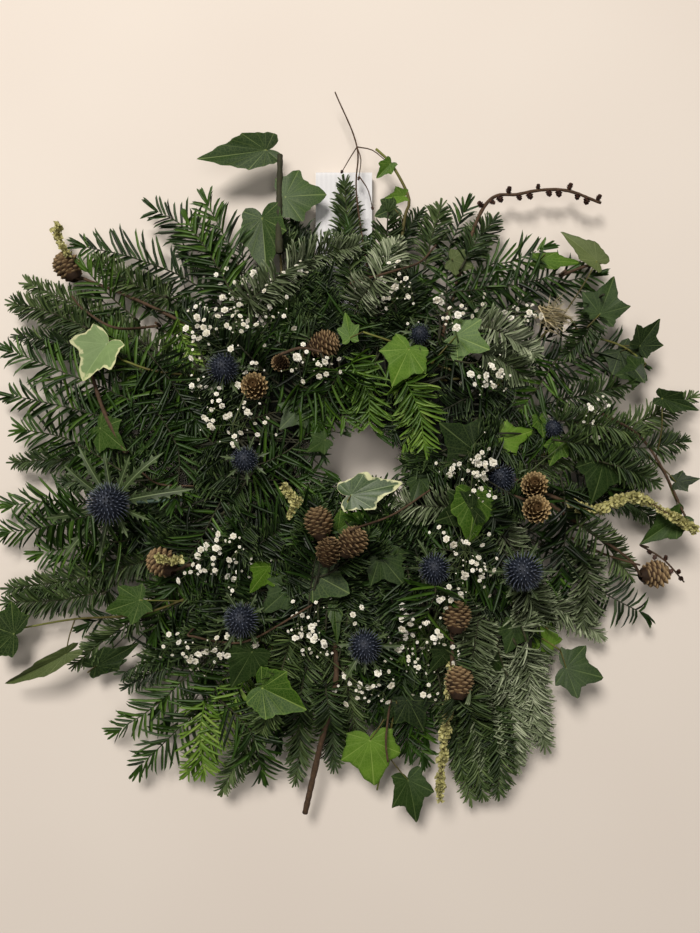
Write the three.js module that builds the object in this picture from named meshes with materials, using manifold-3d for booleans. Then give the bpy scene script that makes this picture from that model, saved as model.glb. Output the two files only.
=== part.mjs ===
// A fresh evergreen wreath, laid on its flat back with its face up. Millimetres, +Z up.
// Sprays, leaves, heads and cones are laid in turn, each one bent to lie clear on the pile
// below it, and each is held by a stem pushed into the moss ring.
import * as THREE from "three";
import { mergeVertices } from "three/addons/utils/BufferGeometryUtils.js";
import Module from "manifold-3d";

const wasm = await Module();
wasm.setup();

// ---------- driving dimensions ----------
const MM_PER_PIXEL = 0.9; // at the flat back
const EYE_HEIGHT = 700; // the wreath is seen from this far above its back
const PICTURE_CENTRE = [350, 466.5];
const RING_CENTRE_SEEN = [352, 474];
const GAP = 0.35; // between touching pieces
const SHORTEST = 0.02; // shorter edges merge

const RING_RADIUS = 98; // to the middle of the moss
const MOSS_HALF_WIDTH = 46;
const MOSS_HEIGHT = 46;
const MOSS_FLAT_HALF_WIDTH = 36;
const SEAT_HALF_WIDTH = 36; // stems go in within this much of the middle
const MOSS_LUMP = 2.5;
const MOSS_STEPS = 18;
const HOOP_OFFSET = 20; // each hoop of the frame lies this far from the ring's middle
const HOOP_WIRE = 1.5; // radius
const HOOP_Z = 4.4;
const CROSS_WIRES = 4;
const BINDING_TURNS = 6;
const BINDING_START = -29; // degrees, clear of the ribbon
const BINDING_WIRE = 0.6; // radius
const RIBBON_WIDTH = 50;
const RIBBON_REACH = 262; // its fold, from the picture's middle
const RIBBON_THICKNESS = 1;
const RIBBON_DEPTH = 9; // across both layers
const RIBBON_Z = 3;

const FLOOR_CLEARANCE = 3; // nothing but the moss ring comes lower
const RIM_Z = 16; // where outward tips lie
const PEG_RADIUS = 1.5;
const PEG_DEPTH = 13; // how far a stem goes into the moss
const YEW = { needle: 27, pitch: 9.6, sweep: 60, rises: [7, 2], rib: 1.3 };
const FIR = { needle: 18, pitch: 8.6, sweep: 52, rises: [8, 40], rib: 1.4 };
const BARE_SHARE = 0.2; // of each spray, next to the ring
const LEAF_THICKNESS = 0.8;
const CONE_RADIUS = 11;
const CONE_LENGTH = 26;
const BUD_RADIUS = 1.9;
const TWIG_RADIUS = 1.5;
const FLOWER_RADIUS = 2.6;
const STALK_WIDTH = 1.1;

// ---------- helpers ----------
const vec = (x, y, z) => new THREE.Vector3(x, y, z);
const UP = vec(0, 0, 1);
const turn = THREE.MathUtils.degToRad;

function seeded(seed) {
  let state = seed;
  return () => {
    state = (state * 1664525 + 1013904223) % 4294967296;
    return state / 4294967296;
  };
}

// The point that the picture shows at (px, py), at height z.
function seen(px, py, z) {
  const scale = (MM_PER_PIXEL * (EYE_HEIGHT - z)) / EYE_HEIGHT;
  return vec((px - PICTURE_CENTRE[0]) * scale, (PICTURE_CENTRE[1] - py) * scale, z);
}

const RING_CENTRE = seen(...RING_CENTRE_SEEN, MOSS_HEIGHT / 2).setZ(0);

// A piece is a closed mesh: its points, and its faces as triples of point numbers.
function pieceFrom(geometry) {
  const bare = new THREE.BufferGeometry();
  bare.setAttribute("position", geometry.getAttribute("position"));
  if (geometry.index) bare.setIndex(geometry.index);
  const merged = mergeVertices(bare, 1e-4);
  const place = merged.getAttribute("position");
  const points = [];
  for (let i = 0; i < place.count; i++) points.push(new THREE.Vector3().fromBufferAttribute(place, i));
  const faces = [];
  for (let i = 0; i < merged.index.count; i += 3) {
    const [a, b, c] = [0, 1, 2].map((k) => merged.index.getX(i + k));
    if (a !== b && b !== c && c !== a) faces.push([a, b, c]);
  }
  return { points, faces };
}

function solidOf({ points, faces }) {
  const vertProperties = new Float32Array(points.flatMap((p) => [p.x, p.y, p.z]));
  const triVerts = new Uint32Array(faces.flat());
  const solid = new wasm.Manifold(new wasm.Mesh({ numProp: 3, vertProperties, triVerts }));
  return solid.volume() < 0 ? solidOf({ points, faces: faces.map(([a, b, c]) => [a, c, b]) }) : solid;
}

const join = (pieces) => pieces.map(solidOf).reduce((whole, next) => whole.add(next));

// The largest body, without loose scraps, and with its shortest edges merged.
function largest(solid) {
  const bodies = solid.decompose();
  return bodies.reduce((best, body) => (body.volume() > best.volume() ? body : best)).simplify(SHORTEST);
}

// ---------- the pile, as a height for each cell of a grid ----------
const CELL = 2;
const GRID_HALF = 350;
const GRID_SIDE = (2 * GRID_HALF) / CELL;
const pile = new Float32Array(GRID_SIDE * GRID_SIDE).fill(FLOOR_CLEARANCE);
const cellOf = (v) => Math.min(GRID_SIDE - 2, Math.max(1, Math.floor((v + GRID_HALF) / CELL)));

// Calls visit(column, row, z, corners) all over each face of the pieces.
function sweep(pieces, visit) {
  for (const { points, faces } of pieces) {
    for (const [a, b, c] of faces) {
      const [p, q, r] = [points[a], points[b], points[c]];
      const reach = Math.max(Math.hypot(q.x - p.x, q.y - p.y), Math.hypot(r.x - p.x, r.y - p.y));
      const steps = Math.ceil(Math.max(reach, Math.hypot(r.x - q.x, r.y - q.y)) / (CELL * 0.6)) + 1;
      for (let i = 0; i <= steps; i++) {
        for (let j = 0; j <= steps - i; j++) {
          const [u, v] = [i / steps, j / steps];
          const x = p.x + u * (q.x - p.x) + v * (r.x - p.x);
          const y = p.y + u * (q.y - p.y) + v * (r.y - p.y);
          visit(cellOf(x), cellOf(y), p.z + u * (q.z - p.z) + v * (r.z - p.z), [p, q, r]);
        }
      }
    }
  }
}

function addToPile(pieces) {
  sweep(pieces, (column, row, z) => {
    for (let dr = -1; dr <= 1; dr++) {
      for (let dc = -1; dc <= 1; dc++) {
        const cell = (row + dr) * GRID_SIDE + column + dc;
        if (z > pile[cell]) pile[cell] = z;
      }
    }
  });
}

// The top of the pile within reach of (x, y).
function pileTop(x, y, reach = 6) {
  let top = 0;
  for (let dy = -reach; dy <= reach; dy += CELL) {
    for (let dx = -reach; dx <= reach; dx += CELL) {
      top = Math.max(top, pile[cellOf(y + dy) * GRID_SIDE + cellOf(x + dx)]);
    }
  }
  return top;
}

// Spreads each cell's value to its neighbours, falling off by slope.
function spread(field, slope) {
  const side = GRID_SIDE;
  const steps = [[-1, 1], [-side, 1], [-side - 1, Math.SQRT2], [-side + 1, Math.SQRT2]];
  const relax = (cell, sign) => {
    for (const [offset, length] of steps) {
      const other = field[cell + sign * offset] - slope * length * CELL;
      if (other > field[cell]) field[cell] = other;
    }
  };
  for (let cell = side + 1; cell < field.length; cell++) relax(cell, 1);
  for (let cell = field.length - side - 2; cell >= 0; cell--) relax(cell, -1);
}

// The value between the middles of the cells round (x, y).
function between(field, x, y) {
  const { lerp } = THREE.MathUtils;
  const [u, v] = [(x + GRID_HALF) / CELL - 0.5, (y + GRID_HALF) / CELL - 0.5];
  const [column, row] = [Math.floor(u), Math.floor(v)];
  const at = (dr, dc) => field[(row + dr) * GRID_SIDE + column + dc];
  return lerp(lerp(at(0, 0), at(0, 1), u - column), lerp(at(1, 0), at(1, 1), u - column), v - row);
}

// Raises each point by an amount that depends only on where it is in plan, until nothing touches
// the pile. The corners of a face rise by at least what any part of the face needs.
function settle(pieces, slope) {
  const clearance = 0.9;
  const mostRounds = 8;
  for (let round = 0; round < mostRounds; round++) {
    const lift = new Float32Array(pile.length);
    let most = 0;
    sweep(pieces, (column, row, z, corners) => {
      const cell = row * GRID_SIDE + column;
      const need = pile[cell] + clearance - z;
      if (need <= 0) return;
      most = Math.max(most, need);
      lift[cell] = Math.max(lift[cell], need);
      for (const corner of corners) {
        const home = cellOf(corner.y) * GRID_SIDE + cellOf(corner.x);
        lift[home] = Math.max(lift[home], need);
      }
    });
    if (most < 0.05) break;
    spread(lift, slope);
    for (const { points } of pieces) {
      for (const p of points) p.z += between(lift, p.x, p.y);
    }
  }
}

// ---------- places ----------
// How high foliage lies before it meets the pile: over the moss, or drooping to the rim.
function freeHeight(x, y) {
  const distance = Math.hypot(x - RING_CENTRE.x, y - RING_CENTRE.y);
  const outside = (distance - RING_RADIUS - MOSS_FLAT_HALF_WIDTH) / 90;
  return THREE.MathUtils.lerp(MOSS_HEIGHT, RIM_Z, THREE.MathUtils.clamp(outside, 0, 1));
}

// The point on top of the pile that the picture shows at (px, py).
function onPile(px, py, above = 1.5) {
  let point = seen(px, py, 40);
  for (let i = 0; i < 3; i++) {
    const z = Math.max(freeHeight(point.x, point.y), pileTop(point.x, point.y)) + above;
    point = seen(px, py, z);
  }
  return point;
}

const ribs = []; // the plan of each stem laid so far, as points
const pegs = []; // { spot, node }

// The nearest free place to put a stem into the moss, clear of stems already laid.
function freeSpot(px, py) {
  const wish = seen(px, py, MOSS_HEIGHT).sub(RING_CENTRE).setZ(0);
  const most = SEAT_HALF_WIDTH - 3;
  const radius = THREE.MathUtils.clamp(wish.length(), RING_RADIUS - most, RING_RADIUS + most);
  wish.setLength(radius).add(RING_CENTRE);
  let best = wish;
  let bestScore = -Infinity;
  for (let i = 0; i < 500; i++) {
    const offset = vec(1.2 * Math.sqrt(i), 0, 0).applyAxisAngle(UP, i * 2.4);
    const spot = wish.clone().add(offset);
    const fromMiddle = Math.abs(spot.distanceTo(RING_CENTRE) - RING_RADIUS);
    if (fromMiddle > SEAT_HALF_WIDTH) continue;
    const toRibs = Math.min(9, ...ribs.map((p) => Math.hypot(p.x - spot.x, p.y - spot.y)));
    const toPegs = Math.min(9, ...pegs.map((p) => Math.hypot(p.spot.x - spot.x, p.spot.y - spot.y)));
    const score = Math.min(toRibs / 5.5, toPegs / 8, 1) - offset.length() * 0.002;
    if (score > bestScore) [best, bestScore] = [spot, score];
  }
  return best.clone().setZ(pileTop(best.x, best.y) + 2);
}

// ---------- stems ----------
const triangleSection = (radius) => {
  const corner = (angle) => new THREE.Vector2(radius * Math.cos(angle), radius * Math.sin(angle));
  return new THREE.Shape([0, 120, 240].map((degrees) => corner(turn(degrees))));
};

function tube(points, radius, stepLength = 16) {
  const path = new THREE.CatmullRomCurve3(points, false, "centripetal");
  const steps = Math.max(1, Math.ceil(path.getLength() / stepLength));
  const geometry = new THREE.ExtrudeGeometry(triangleSection(radius), { extrudePath: path, steps });
  return pieceFrom(geometry);
}

function noteRib(points) {
  const path = new THREE.CatmullRomCurve3(points, false, "centripetal");
  ribs.push(...path.getSpacedPoints(Math.ceil(path.getLength() / 4)));
}

// ---------- ribs drawn out into needles or flowers ----------
// A tapering three-sided rib along a curve, its ridge up, with a station at each share of its length.
// draw(i, hand, along, side, up) says where the side wall between stations i and i + 1 is drawn
// out to: an offset from the wall's middle, and the radius of a knob there, or 0 for a point.
function drawnRib(points, shares, radius, draw, endReach) {
  const path = new THREE.CatmullRomCurve3(points, false, "centripetal");
  const piece = { points: [], faces: [] };
  const add = (p) => piece.points.push(p) - 1;
  const face = (...corners) => piece.faces.push(corners);
  const stations = shares.map((share) => {
    const along = path.getTangentAt(share);
    const side = along.clone().cross(UP).normalize();
    const up = side.clone().cross(along);
    const middle = path.getPointAt(share);
    const width = radius * (1 - 0.5 * share);
    const left = add(middle.clone().addScaledVector(side, -width));
    const right = add(middle.clone().addScaledVector(side, width));
    const ridge = add(middle.clone().addScaledVector(up, width * 1.2));
    return { along, side, up, middle, left, right, ridge };
  });
  const fan = (ring, tip) => ring.forEach((corner, k) => face(corner, ring[(k + 1) % ring.length], tip));
  const drawWall = (wall, middle, { offset, knob }) => {
    const centre = middle.add(offset);
    if (!knob) return fan(wall, add(centre));
    const out = offset.clone().normalize();
    const corners = wall.map((corner) => piece.points[corner].clone().sub(middle.clone().sub(offset)));
    const rim = corners.map((corner) => add(corner.projectOnPlane(out).setLength(knob).add(centre)));
    wall.forEach((corner, k) => {
      const next = (k + 1) % 4;
      face(corner, wall[next], rim[next]);
      face(corner, rim[next], rim[k]);
    });
    face(rim[0], rim[1], rim[2]);
    return face(rim[0], rim[2], rim[3]);
  };
  const first = stations[0];
  face(first.right, first.ridge, first.left);
  for (let i = 0; i + 1 < stations.length; i++) {
    const [a, b] = [stations[i], stations[i + 1]];
    face(b.right, a.right, a.left);
    face(b.left, b.right, a.left);
    const walls = [[[b.right, b.ridge, a.ridge, a.right], 1], [[a.left, a.ridge, b.ridge, b.left], -1]];
    for (const [wall, hand] of walls) {
      const target = draw(i, hand, a.along, a.side.clone().multiplyScalar(hand), a.up);
      if (target) {
        drawWall(wall, a.middle.clone().lerp(b.middle, 0.5), target);
      } else {
        face(wall[0], wall[1], wall[2]);
        face(wall[0], wall[2], wall[3]);
      }
    }
  }
  const last = stations.at(-1);
  fan([last.ridge, last.right, last.left], add(last.middle.clone().addScaledVector(last.along, endReach)));
  return piece;
}

// A spray: its rib is bare next to the ring, then has pointed needles on both sides.
function spray(points, kind) {
  noteRib(points);
  const length = new THREE.CatmullRomCurve3(points, false, "centripetal").getLength();
  const needled = Math.round((length * (1 - BARE_SHARE)) / kind.pitch);
  const shares = [0, BARE_SHARE / 2];
  for (let left = needled; left >= 0; left--) shares.push(1 - ((1 - BARE_SHARE) * left) / needled);
  const draw = (i, hand, along, side, up) => {
    if (i < 2) return null;
    const share = (shares[i] + shares[i + 1]) / 2;
    const rise = turn(kind.rises[(i + (hand > 0 ? 1 : 0)) % 2]);
    const sweepAngle = turn(kind.sweep * (1 - 0.35 * share));
    const reach = kind.needle * Math.min(1, 0.5 + 3 * (1 - share));
    const offset = along.clone().multiplyScalar(reach * Math.cos(sweepAngle));
    offset.addScaledVector(side, reach * Math.sin(sweepAngle) * Math.cos(rise));
    offset.addScaledVector(up, reach * Math.sin(sweepAngle) * Math.sin(rise));
    return { offset, knob: 0 };
  };
  return drawnRib(points, shares, kind.rib, draw, kind.needle * 0.6);
}

// A branch whose last stretch carries pairs of flowers on slender stalks, across wide at its hub.
function panicle(points, across, pairs, random) {
  noteRib(points);
  const length = new THREE.CatmullRomCurve3(points, false, "centripetal").getLength();
  const from = Math.max(0.3, 1 - (1.6 * across) / length);
  const stalk = STALK_WIDTH / length;
  const shares = [0, from / 2];
  for (let k = 0; k < pairs; k++) {
    const share = from + ((1 - 2 * stalk - from) * k) / (pairs - 1);
    shares.push(share, share + stalk);
  }
  const draw = (i, hand, along, side, up) => {
    if (i < 2 || i % 2) return null;
    const rise = turn((i % 4 ? 14 : 50) + 12 * random());
    const reach = across * (0.55 + 0.4 * random());
    const offset = along.clone().multiplyScalar(reach * 0.25);
    offset.addScaledVector(side, reach * Math.cos(rise));
    offset.addScaledVector(up, Math.min(9, reach * Math.sin(rise)));
    return { offset, knob: FLOWER_RADIUS };
  };
  return drawnRib(points, shares, STALK_WIDTH, draw, 4);
}

// A bare twig with buds on alternate sides of its last stretch.
function buddedTwig(points, from, buds) {
  noteRib(points);
  const length = new THREE.CatmullRomCurve3(points, false, "centripetal").getLength();
  const shares = [0, from / 2];
  for (let k = 0; k < buds; k++) {
    const share = from + ((0.97 - from) * k) / (buds - 1);
    shares.push(share, share + (2 * TWIG_RADIUS) / length);
  }
  const draw = (i, hand, along, side, up) => {
    if (i < 2 || i % 2 || hand !== (i % 4 ? 1 : -1)) return null;
    const offset = along.clone().multiplyScalar(BUD_RADIUS * 0.6).addScaledVector(up, BUD_RADIUS);
    return { offset: offset.addScaledVector(side, BUD_RADIUS * 1.7), knob: BUD_RADIUS };
  };
  return drawnRib(points, shares, TWIG_RADIUS, draw, 4);
}

// ---------- blades ----------
// A thin closed blade over an outline, split alike on both faces. All of the outline is seen from
// the hub, apart from a tail: two neighbouring points, given by their numbers.
function blade(outline, hub, place, thickness = LEAF_THICKNESS, tail = []) {
  const corners = [hub, ...outline];
  const top = corners.map(([x, y]) => place(x, y, thickness / 2));
  const under = corners.map(([x, y]) => place(x, y, -thickness / 2));
  const count = corners.length;
  const faces = [];
  const onBothFaces = (p, q, r) => faces.push([p, q, r], [count + p, count + r, count + q]);
  const rim = outline.map((_, k) => k + 1);
  const seenFromHub = rim.filter((i) => !tail.includes(i - 1));
  seenFromHub.forEach((i, k) => onBothFaces(0, i, seenFromHub[(k + 1) % seenFromHub.length]));
  if (tail.length) {
    const [first, second] = tail.map((k) => k + 1);
    onBothFaces(first - 1, first, second);
    onBothFaces(first - 1, second, second + 1);
  }
  rim.forEach((i, k) => {
    const next = rim[(k + 1) % rim.length];
    faces.push([i, count + i, count + next], [i, count + next, next]);
  });
  return { points: [...top, ...under], faces };
}

// Half of an ivy leaf's edge between its tip and its base, for a leaf of length 1.
const IVY_HALF = [[0.48, 0.2], [0.3, 0.5], [-0.14, 0.32]];

// The leaf's base is at from and its petiole, part of the same outline, runs back to start.
function ivyLeaf(start, from, tip, width = 1, cup = 0.12) {
  const along = tip.clone().sub(from);
  const length = along.length();
  along.normalize();
  const side = UP.clone().cross(along).normalize();
  const up = along.clone().cross(side);
  const stalkSide = UP.clone().cross(from.clone().sub(start)).normalize();
  const baseSide = side.clone().add(stalkSide).normalize();
  const place = (x, y, w) => {
    if (x < -0.9) return start.clone().addScaledVector(stalkSide, y * length).setZ(start.z + w);
    if (x === 0) return from.clone().addScaledVector(baseSide, y * length).addScaledVector(up, w);
    const height = length * (cup * Math.abs(y) + 0.16 * x * (1 - x)) + w;
    return from.clone().addScaledVector(along, x * length)
      .addScaledVector(side, y * length * width).addScaledVector(up, height);
  };
  const mirror = IVY_HALF.map(([x, y]) => [x, -y]).reverse();
  const petiole = [[0, 0.03], [-1, 0.03], [-1, -0.03], [0, -0.03]];
  const outline = [[1, 0], ...IVY_HALF, ...petiole, ...mirror];
  return blade(outline, [0.2, 0], place, LEAF_THICKNESS, [5, 6]);
}

// ---------- studded bodies: heads, cones and florets ----------
// A round body in rows and columns, each wall of which is drawn out to a point.
function studded({ base, axis, rows, columns, profile, reach }) {
  const side = vec(1, 0, 0).cross(axis).lengthSq() > 0.01 ? vec(1, 0, 0).cross(axis) : vec(0, 1, 0);
  side.normalize();
  const piece = { points: [], faces: [] };
  const add = (p) => piece.points.push(p) - 1;
  const around = (column, radius, height) => {
    const out = side.clone().applyAxisAngle(axis, (column * 2 * Math.PI) / columns);
    return base.clone().addScaledVector(axis, height).addScaledVector(out, radius);
  };
  const grid = [];
  for (let row = 0; row <= rows; row++) {
    const [radius, height] = profile(row / rows);
    grid.push([...Array(columns).keys()].map((column) => add(around(column, radius, height))));
  }
  for (let row = 0; row < rows; row++) {
    for (let column = 0; column < columns; column++) {
      const next = (column + 1) % columns;
      const wall = [grid[row][column], grid[row][next], grid[row + 1][next], grid[row + 1][column]];
      const [radius, height] = profile((row + 0.5) / rows);
      const [spike, climb] = reach((row + 0.5) / rows);
      const apex = add(around(column + 0.5, radius + spike, height + climb));
      wall.forEach((corner, k) => piece.faces.push([corner, wall[(k + 1) % 4], apex]));
    }
  }
  const [, low] = profile(0);
  const [, high] = profile(1);
  const foot = add(base.clone().addScaledVector(axis, low));
  const [, lastClimb] = reach(1);
  const crown = add(base.clone().addScaledVector(axis, high + lastClimb));
  for (let column = 0; column < columns; column++) {
    const next = (column + 1) % columns;
    piece.faces.push([grid[0][next], grid[0][column], foot]);
    piece.faces.push([grid[rows][column], grid[rows][next], crown]);
  }
  return piece;
}

function seaHollyHead(centre, radius, axis) {
  const profile = (t) => {
    const latitude = turn(-25 + 95 * t);
    return [radius * 0.68 * Math.cos(latitude), radius * 0.8 * Math.sin(latitude)];
  };
  const reach = (t) => [radius * 0.34 * (1 - 0.7 * t), radius * (0.05 + 0.3 * t)];
  const base = centre.clone().addScaledVector(axis, radius * 0.34);
  const [rows, columns] = radius > 15 ? [4, 8] : [3, 6];
  return studded({ base, axis, rows, columns, profile, reach });
}

function cone(base, axis, scale = 1) {
  const radius = CONE_RADIUS * scale;
  const length = CONE_LENGTH * scale;
  const profile = (t) => [radius * 0.8 * Math.sin(turn(38 + 112 * t)), length * t];
  const reach = (t) => [radius * 0.34, length * 0.1 * (1 - t)];
  return studded({ base, axis, rows: 3, columns: 5, profile, reach });
}

// A collar of narrow spiny bracts in one star-shaped blade, with two side teeth on each bract.
function collar(centre, reaches, rise, hubRise) {
  const step = (2 * Math.PI) / reaches.length;
  const outline = [];
  reaches.forEach((reach, k) => {
    const at = (share, off) => {
      const angle = (k + off) * step;
      return [reach * share * Math.cos(angle), reach * share * Math.sin(angle)];
    };
    outline.push(at(0.32, -0.5), at(0.62, -0.22), at(0.6, -0.08), at(1, 0), at(0.6, 0.08), at(0.62, 0.22));
  });
  const place = (x, y, w) => {
    const out = Math.hypot(x, y);
    return vec(x, y, w + (out > 0 ? rise * out : hubRise)).add(centre);
  };
  return blade(outline, [0, 0], place, 0.9);
}

// ---------- the ring ----------
// Half-width and height of the moss at angle t round its section, with a flat bottom.
function mossSection(t, lump) {
  const [c, s] = [Math.cos(t), Math.sin(t)];
  if (s < -0.5) return [Math.sign(c) * MOSS_FLAT_HALF_WIDTH * Math.min(1, Math.abs(c) * 1.6), 0];
  const height = MOSS_HEIGHT * (s < 0 ? 0.36 + 0.5 * s : 0.36 + 0.64 * s);
  return [(MOSS_HALF_WIDTH + lump) * c, Math.max(0, height + lump * Math.max(0, s))];
}

function ringPoint(angle, across, z) {
  const radius = RING_RADIUS + across;
  return vec(radius * Math.cos(angle), radius * Math.sin(angle), z).add(RING_CENTRE);
}

function mossRing() {
  const sectionAngles = [-38, 5, 45, 90, 135, 175, 218, 254, 286].map(turn);
  const sides = sectionAngles.length;
  const piece = { points: [], faces: [] };
  for (let i = 0; i < MOSS_STEPS; i++) {
    const angle = (i / MOSS_STEPS) * 2 * Math.PI;
    sectionAngles.forEach((t, k) => {
      const lump = MOSS_LUMP * (Math.sin(7 * angle + 2 * k) + Math.sin(11 * angle - 3 * k)) * 0.5;
      piece.points.push(ringPoint(angle, ...mossSection(t, lump)));
    });
  }
  for (let i = 0; i < MOSS_STEPS; i++) {
    for (let k = 0; k < sides; k++) {
      const [here, there] = [i * sides, ((i + 1) % MOSS_STEPS) * sides];
      const next = (k + 1) % sides;
      piece.faces.push([here + k, there + k, there + next], [here + k, there + next, here + next]);
    }
  }
  return piece;
}

function wireFrame() {
  const hoops = [-HOOP_OFFSET, HOOP_OFFSET].map((across) => {
    const geometry = new THREE.TorusGeometry(RING_RADIUS + across, HOOP_WIRE, 3, MOSS_STEPS);
    return pieceFrom(geometry.translate(RING_CENTRE.x, RING_CENTRE.y, HOOP_Z));
  });
  return [...hoops, ...crossWires((length) => new THREE.BoxGeometry(length, 2, 2))];
}

// Places a bar at each cross wire, from its geometry for a length along x.
function crossWires(geometryFor) {
  return [...Array(CROSS_WIRES).keys()].map((k) => {
    const angle = ((k + 0.5) / CROSS_WIRES) * 2 * Math.PI;
    const place = ringPoint(angle, 0, HOOP_Z);
    return pieceFrom(geometryFor(2 * HOOP_OFFSET).rotateZ(angle).translate(place.x, place.y, place.z));
  });
}

// The channels in the moss that the frame lies in, open at the back.
function frameChannels() {
  const half = HOOP_WIRE + GAP;
  const [low, high] = [-1, HOOP_Z + half];
  const hoops = [-HOOP_OFFSET, HOOP_OFFSET].map((across) => {
    const [inner, outer] = [RING_RADIUS + across - half, RING_RADIUS + across + half];
    const corners = [[inner, low], [outer, low], [outer, high], [inner, high], [inner, low]];
    const profile = corners.map(([x, y]) => new THREE.Vector2(x, y));
    const geometry = new THREE.LatheGeometry(profile, MOSS_STEPS).rotateX(Math.PI / 2).rotateZ(Math.PI / 2);
    return pieceFrom(geometry.translate(RING_CENTRE.x, RING_CENTRE.y, 0));
  });
  const bars = crossWires((length) => {
    const depth = high - low;
    return new THREE.BoxGeometry(length, 2 * half, depth).translate(0, 0, high - HOOP_Z - depth / 2);
  });
  return [...hoops, ...bars];
}

// The route of the wire wound round the moss and the stems, from one end to the other.
function bindingRoute() {
  const points = [];
  const stepsPerTurn = 9;
  for (let i = 0; i < BINDING_TURNS * stepsPerTurn - 2; i++) {
    const angle = turn(BINDING_START) + (i / (BINDING_TURNS * stepsPerTurn)) * 2 * Math.PI;
    const t = (i / stepsPerTurn) * 2 * Math.PI + Math.PI / 2;
    const [across, z] = mossSection(t, MOSS_LUMP);
    const out = BINDING_WIRE + 1.6;
    const lowest = BINDING_WIRE + 1.2;
    points.push(ringPoint(angle, across + out * Math.cos(t), Math.max(lowest, z + out * Math.sin(t))));
  }
  return new THREE.CatmullRomCurve3(points, false, "centripetal");
}

function bindingWire(grow) {
  const path = bindingRoute();
  const settings = { extrudePath: path, steps: path.points.length + 1 };
  return pieceFrom(new THREE.ExtrudeGeometry(triangleSection(BINDING_WIRE + grow), settings));
}

// A folded band: two flat layers with a round fold at the far end, their near ends in the moss.
function ribbonLoop(grow) {
  const [near, far] = [RING_CENTRE.y + RING_RADIUS + 28 - grow, RIBBON_REACH];
  const [outer, inner] = [RIBBON_DEPTH / 2 + grow, RIBBON_DEPTH / 2 - RIBBON_THICKNESS - grow];
  const middle = RIBBON_DEPTH / 2;
  const shape = new THREE.Shape();
  shape.moveTo(near, middle - outer);
  shape.lineTo(far - middle, middle - outer);
  shape.absarc(far - middle, middle, outer, -Math.PI / 2, Math.PI / 2, false);
  shape.lineTo(near, middle + outer);
  shape.lineTo(near, middle + inner);
  shape.lineTo(far - middle, middle + inner);
  shape.absarc(far - middle, middle, inner, Math.PI / 2, -Math.PI / 2, true);
  shape.lineTo(near, middle - inner);
  const width = RIBBON_WIDTH + 2 * grow;
  const settings = { depth: width, bevelEnabled: false, curveSegments: 6 };
  const geometry = new THREE.ExtrudeGeometry(shape, settings);
  // the profile's x becomes y, its y becomes z, and the extrusion runs along x
  const turnRound = new THREE.Matrix4().makeBasis(vec(0, 1, 0), vec(0, 0, 1), vec(1, 0, 0));
  geometry.applyMatrix4(turnRound).translate(RIBBON_MIDDLE_X - width / 2, 0, RIBBON_Z);
  return pieceFrom(geometry);
}

const RIBBON_MIDDLE_X = seen(344, 200, RIBBON_Z).x;

// ---------- what is laid, from the back to the front ----------
const nodes = []; // { name, finish, pieces, spot }

// Settles the pieces together and gives where their root, at spot, ends up.
function settled(pieces, spot, slope) {
  const root = { points: [spot.clone()], faces: [] };
  settle([...pieces, root], slope);
  addToPile(pieces);
  return root.points[0];
}

// Lays one node: build(spot) gives its pieces, or lists of pieces by name for two colours.
function lay(name, finish, seat, slope, build) {
  const spot = freeSpot(...seat);
  const built = build(spot);
  const groups = Array.isArray(built) ? { [name]: [finish, built] } : built;
  const root = settled(Object.values(groups).flatMap(([, pieces]) => pieces), spot, slope);
  pegs.push({ spot: root, node: nodes.length });
  for (const [key, [look, own]] of Object.entries(groups)) {
    nodes.push({ name: key, finish: look, pieces: own });
  }
}

// Lays pieces one on another, all from one place in the moss. Each maker gets its piece's start.
function layOneByOne(name, finish, seat, slope, makers) {
  const spot = freeSpot(...seat);
  const pieces = [];
  let root = spot;
  for (const make of makers) {
    const start = spot.clone().setZ(pileTop(spot.x, spot.y, 2) + 2);
    const piece = make(start);
    root = settled([piece], start, slope);
    pieces.push(piece);
  }
  pegs.push({ spot: root, node: nodes.length });
  nodes.push({ name, finish, pieces });
}

function laySprays(name, finish, kind, seat, tips) {
  const makers = tips.map((route) => (start) =>
    spray([start, ...route.map(([px, py]) => onPile(px, py))], kind));
  layOneByOne(name, finish, seat, 0.55, makers);
}

// Single ivy leaves, each on its petiole from the moss.
function layIvyLeaves(name, finish, seat, leaves) {
  const makers = leaves.map(({ at, tip, wide }) => (start) =>
    ivyLeaf(start, onPile(...at, 5), onPile(...tip, 5), wide));
  layOneByOne(name, finish, seat, 0.5, makers);
}

// An ivy trail: its stems run from the moss, and each leaf's petiole leaves them at a point of theirs.
function layIvyTrail(name, finish, seat, stems, leaves) {
  lay(name, finish, seat, 0.5, (spot) => {
    const pieces = stems.map((route) => {
      const points = [spot, ...route.map(([px, py]) => onPile(px, py, 4))];
      noteRib(points);
      return tube(points, 1.1, 28);
    });
    for (const { from, at, tip, wide, high = 9 } of leaves) {
      pieces.push(ivyLeaf(onPile(...from, 4), onPile(...at, high), onPile(...tip, high), wide));
    }
    return pieces;
  });
}

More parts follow.
